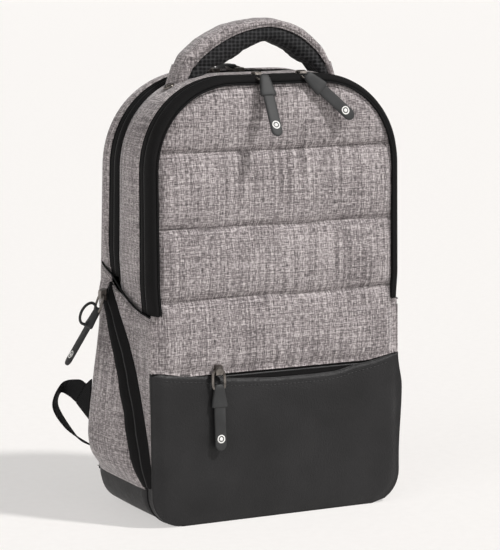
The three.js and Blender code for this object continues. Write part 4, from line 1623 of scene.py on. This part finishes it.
def make_pull(label):
    swing, hang, bend = pull_frames(label)
    body = label + "_pull"
    # The metal link: a bent-wire loop, wider at its foot.
    wire = []
    for k in range(41):
        a = 2 * math.pi * k / 40
        c, s = math.cos(a), math.sin(a)
        z = -0.0100 + 0.0100 * signed_power(c, 0.55)
        widen = 0.0066 + 0.0009 * (0.5 - 0.5 * c)
        wire.append(swing @ Vector((widen * signed_power(s, 0.55), 0, z)))
    rings = []
    for i in range(40):
        tangent = (wire[(i + 1) % 40] - wire[i - 1]).normalized()
        side = tangent.cross(swing.to_3x3() @ Vector((0, 1, 0))).normalized()
        up = tangent.cross(side)
        ring = []
        for k in range(10):
            a = 2 * math.pi * k / 10
            ring.append(wire[i] + side * 0.00165 * math.cos(a) + up * 0.00115 * math.sin(a))
        rings.append(ring)
    sweep("pull_link_" + label, rings, METAL, body, closed_path=True, replaces=[label + "_pull"])
    # The moulded rubber: a head closed round the link's bar, then a flat stem.
    stations = [
        (-0.0148, 0.0036, 0.0014, 0),
        (-0.0160, 0.0048, 0.0022, 0),
        (-0.0200, 0.0060, 0.0027, 0),
        (-0.0250, 0.0070, 0.0026, 0),
        (-0.0310, 0.0082, 0.0024, 0),
        (-0.0355, 0.0090, 0.0025, 0),
        (-0.0384, 0.0091, 0.0025, 0),
        (-0.0391, 0.0090, 0.0023, 0),
        (-0.0394, 0.0085, 0.0019, 0),
        (-0.0395, 0.0068, 0.0015, 0),
        (-0.0402, 0.0066, 0.0015, 0),
    ]
    stem_end = -PULL_END
    for k in range(1, 25):
        z = -0.0402 + (stem_end + 0.0066 + 0.0402) * k / 24
        stations.append((z, 0.0066, 0.0015, 0))
    for k in range(1, 7):
        a = math.pi / 2 * k / 6
        half_x = max(0.0004, 0.0066 * math.cos(a))
        half_y = 0.0015 - 0.0004 * (k / 6) ** 2
        stations.append((stem_end + 0.0066 - 0.0066 * math.sin(a), half_x, half_y, 0))
    rings = [[hang @ bent(p, bend) for p in ring] for ring in rounded_bar(stations)]
    sweep("pull_rubber_" + label, rings, RUBBER, body)
    if label == "side_zip_left":
        loop = []
        for k in range(33):
            a = 2 * math.pi * k / 32
            loop.append(hang @ Vector((0, -0.0078 + 0.0078 * math.cos(a), -0.0262 - 0.0125 * math.sin(a))))
        tube("pull_loop_" + label, loop, 0.0016, RUBBER, body)
    # A plain printed ring near the end, on both faces.
    for face, way in (("outer", -1), ("inner", 1)):
        centre_z = stem_end + 0.0125
        parts = []
        for radius_in, radius_out in ((0.0, 0.0021), (0.0032, 0.0046)):
            ring_points = []
            for k in range(28):
                a = 2 * math.pi * k / 28
                ring_points.append([
                    hang @ bent((r * math.cos(a), way * (0.00150 + lift), centre_z + r * math.sin(a)), bend)
                    for r, lift in (
                        (radius_in, -0.0002),
                        (radius_in, 0.00014),
                        (radius_out, 0.00014),
                        (radius_out, -0.0002),
                    )
                ])
            parts.append(([p for ring in ring_points for p in ring], ring_faces(28, 4, True)))
        verts, faces = joined(parts)
        piece(f"pull_mark_{face}_{label}", verts, faces, WHITE, body)


for label in PULLS:
    softened = nodes[label + "_slider"].modifiers.new("bevel", "BEVEL")
    softened.width = 0.0005
    softened.segments = 2
    softened.limit_method = "ANGLE"
    make_pull(label)

# ---------------------------------------------------------------- floor, light and camera
def studio_bowl():
    """The floor's points and faces, curving up into a low wall far away on every side."""
    sides = 48
    verts = [(0, 0, 0)]
    for radius, z in ((2, 0), (8, 0), (30, 0), (46, 0.0), (54, 1.2), (59, 5), (60, 16)):
        for k in range(sides):
            a = 2 * math.pi * k / sides
            verts.append((radius * math.cos(a), radius * math.sin(a), z))
    faces = [(0, 1 + k, 1 + (k + 1) % sides) for k in range(sides)]
    for ring in range(6):
        for k in range(sides):
            a, b = 1 + ring * sides + k, 1 + ring * sides + (k + 1) % sides
            faces.append((a, a + sides, b + sides, b))
    return verts, faces


floor_look = Nodes("floor_paper", (0.90, 0.885, 0.87), 0.75, specular=0.2)
floor_grain = floor_look.noise(floor_look.position, 90, 3.0)
floor_look.colour(floor_grain, [(0.3, (0.405, 0.396, 0.387)), (0.7, (0.425, 0.416, 0.407))])
floor_look.shader.inputs["Emission Color"].default_value = (1.0, 0.975, 0.955, 1)
floor_look.shader.inputs["Emission Strength"].default_value = 0.515
floor = piece("studio_floor", *studio_bowl(), floor_look.material)

world = bpy.data.worlds.new("studio")
scene.world = world
world.use_nodes = True
world.node_tree.nodes["Background"].inputs[0].default_value = (1.0, 0.985, 0.965, 1)
world.node_tree.nodes["Background"].inputs[1].default_value = 0.12


def sun(name, direction, strength, angle, colour=(1, 1, 1)):
    light = bpy.data.lights.new(name, "SUN")
    light.energy = strength
    light.angle = math.radians(angle)
    light.color = colour
    made = bpy.data.objects.new(name, light)
    scene.collection.objects.link(made)
    made.rotation_euler = Vector(direction).to_track_quat("-Z", "Y").to_euler()
    return made


sun("key", (-0.75, 0.85, -1.30), 3.05, 5, (1, 0.985, 0.97))
sun("fill", (0.85, 0.40, -0.45), 0.80, 50)
sun("top", (0.05, 0.35, -1), 0.15, 50)

TARGET = Vector((0.0034, 0.0, 0.2539))
YAW, ELEVATION, DISTANCE = math.radians(26.95), math.radians(8.35), 2.690
camera = bpy.data.objects.new("camera", bpy.data.cameras.new("camera"))
scene.collection.objects.link(camera)
camera.data.sensor_width = 36.0
camera.data.sensor_fit = "AUTO"
camera.data.lens = 159.4
level = math.cos(ELEVATION)
away = Vector((-math.sin(YAW) * level, -math.cos(YAW) * level, math.sin(ELEVATION)))
camera.location = TARGET + away * DISTANCE
camera.rotation_euler = (-away).to_track_quat("-Z", "Y").to_euler()
scene.camera = camera
scene.view_settings.view_transform = "Standard"
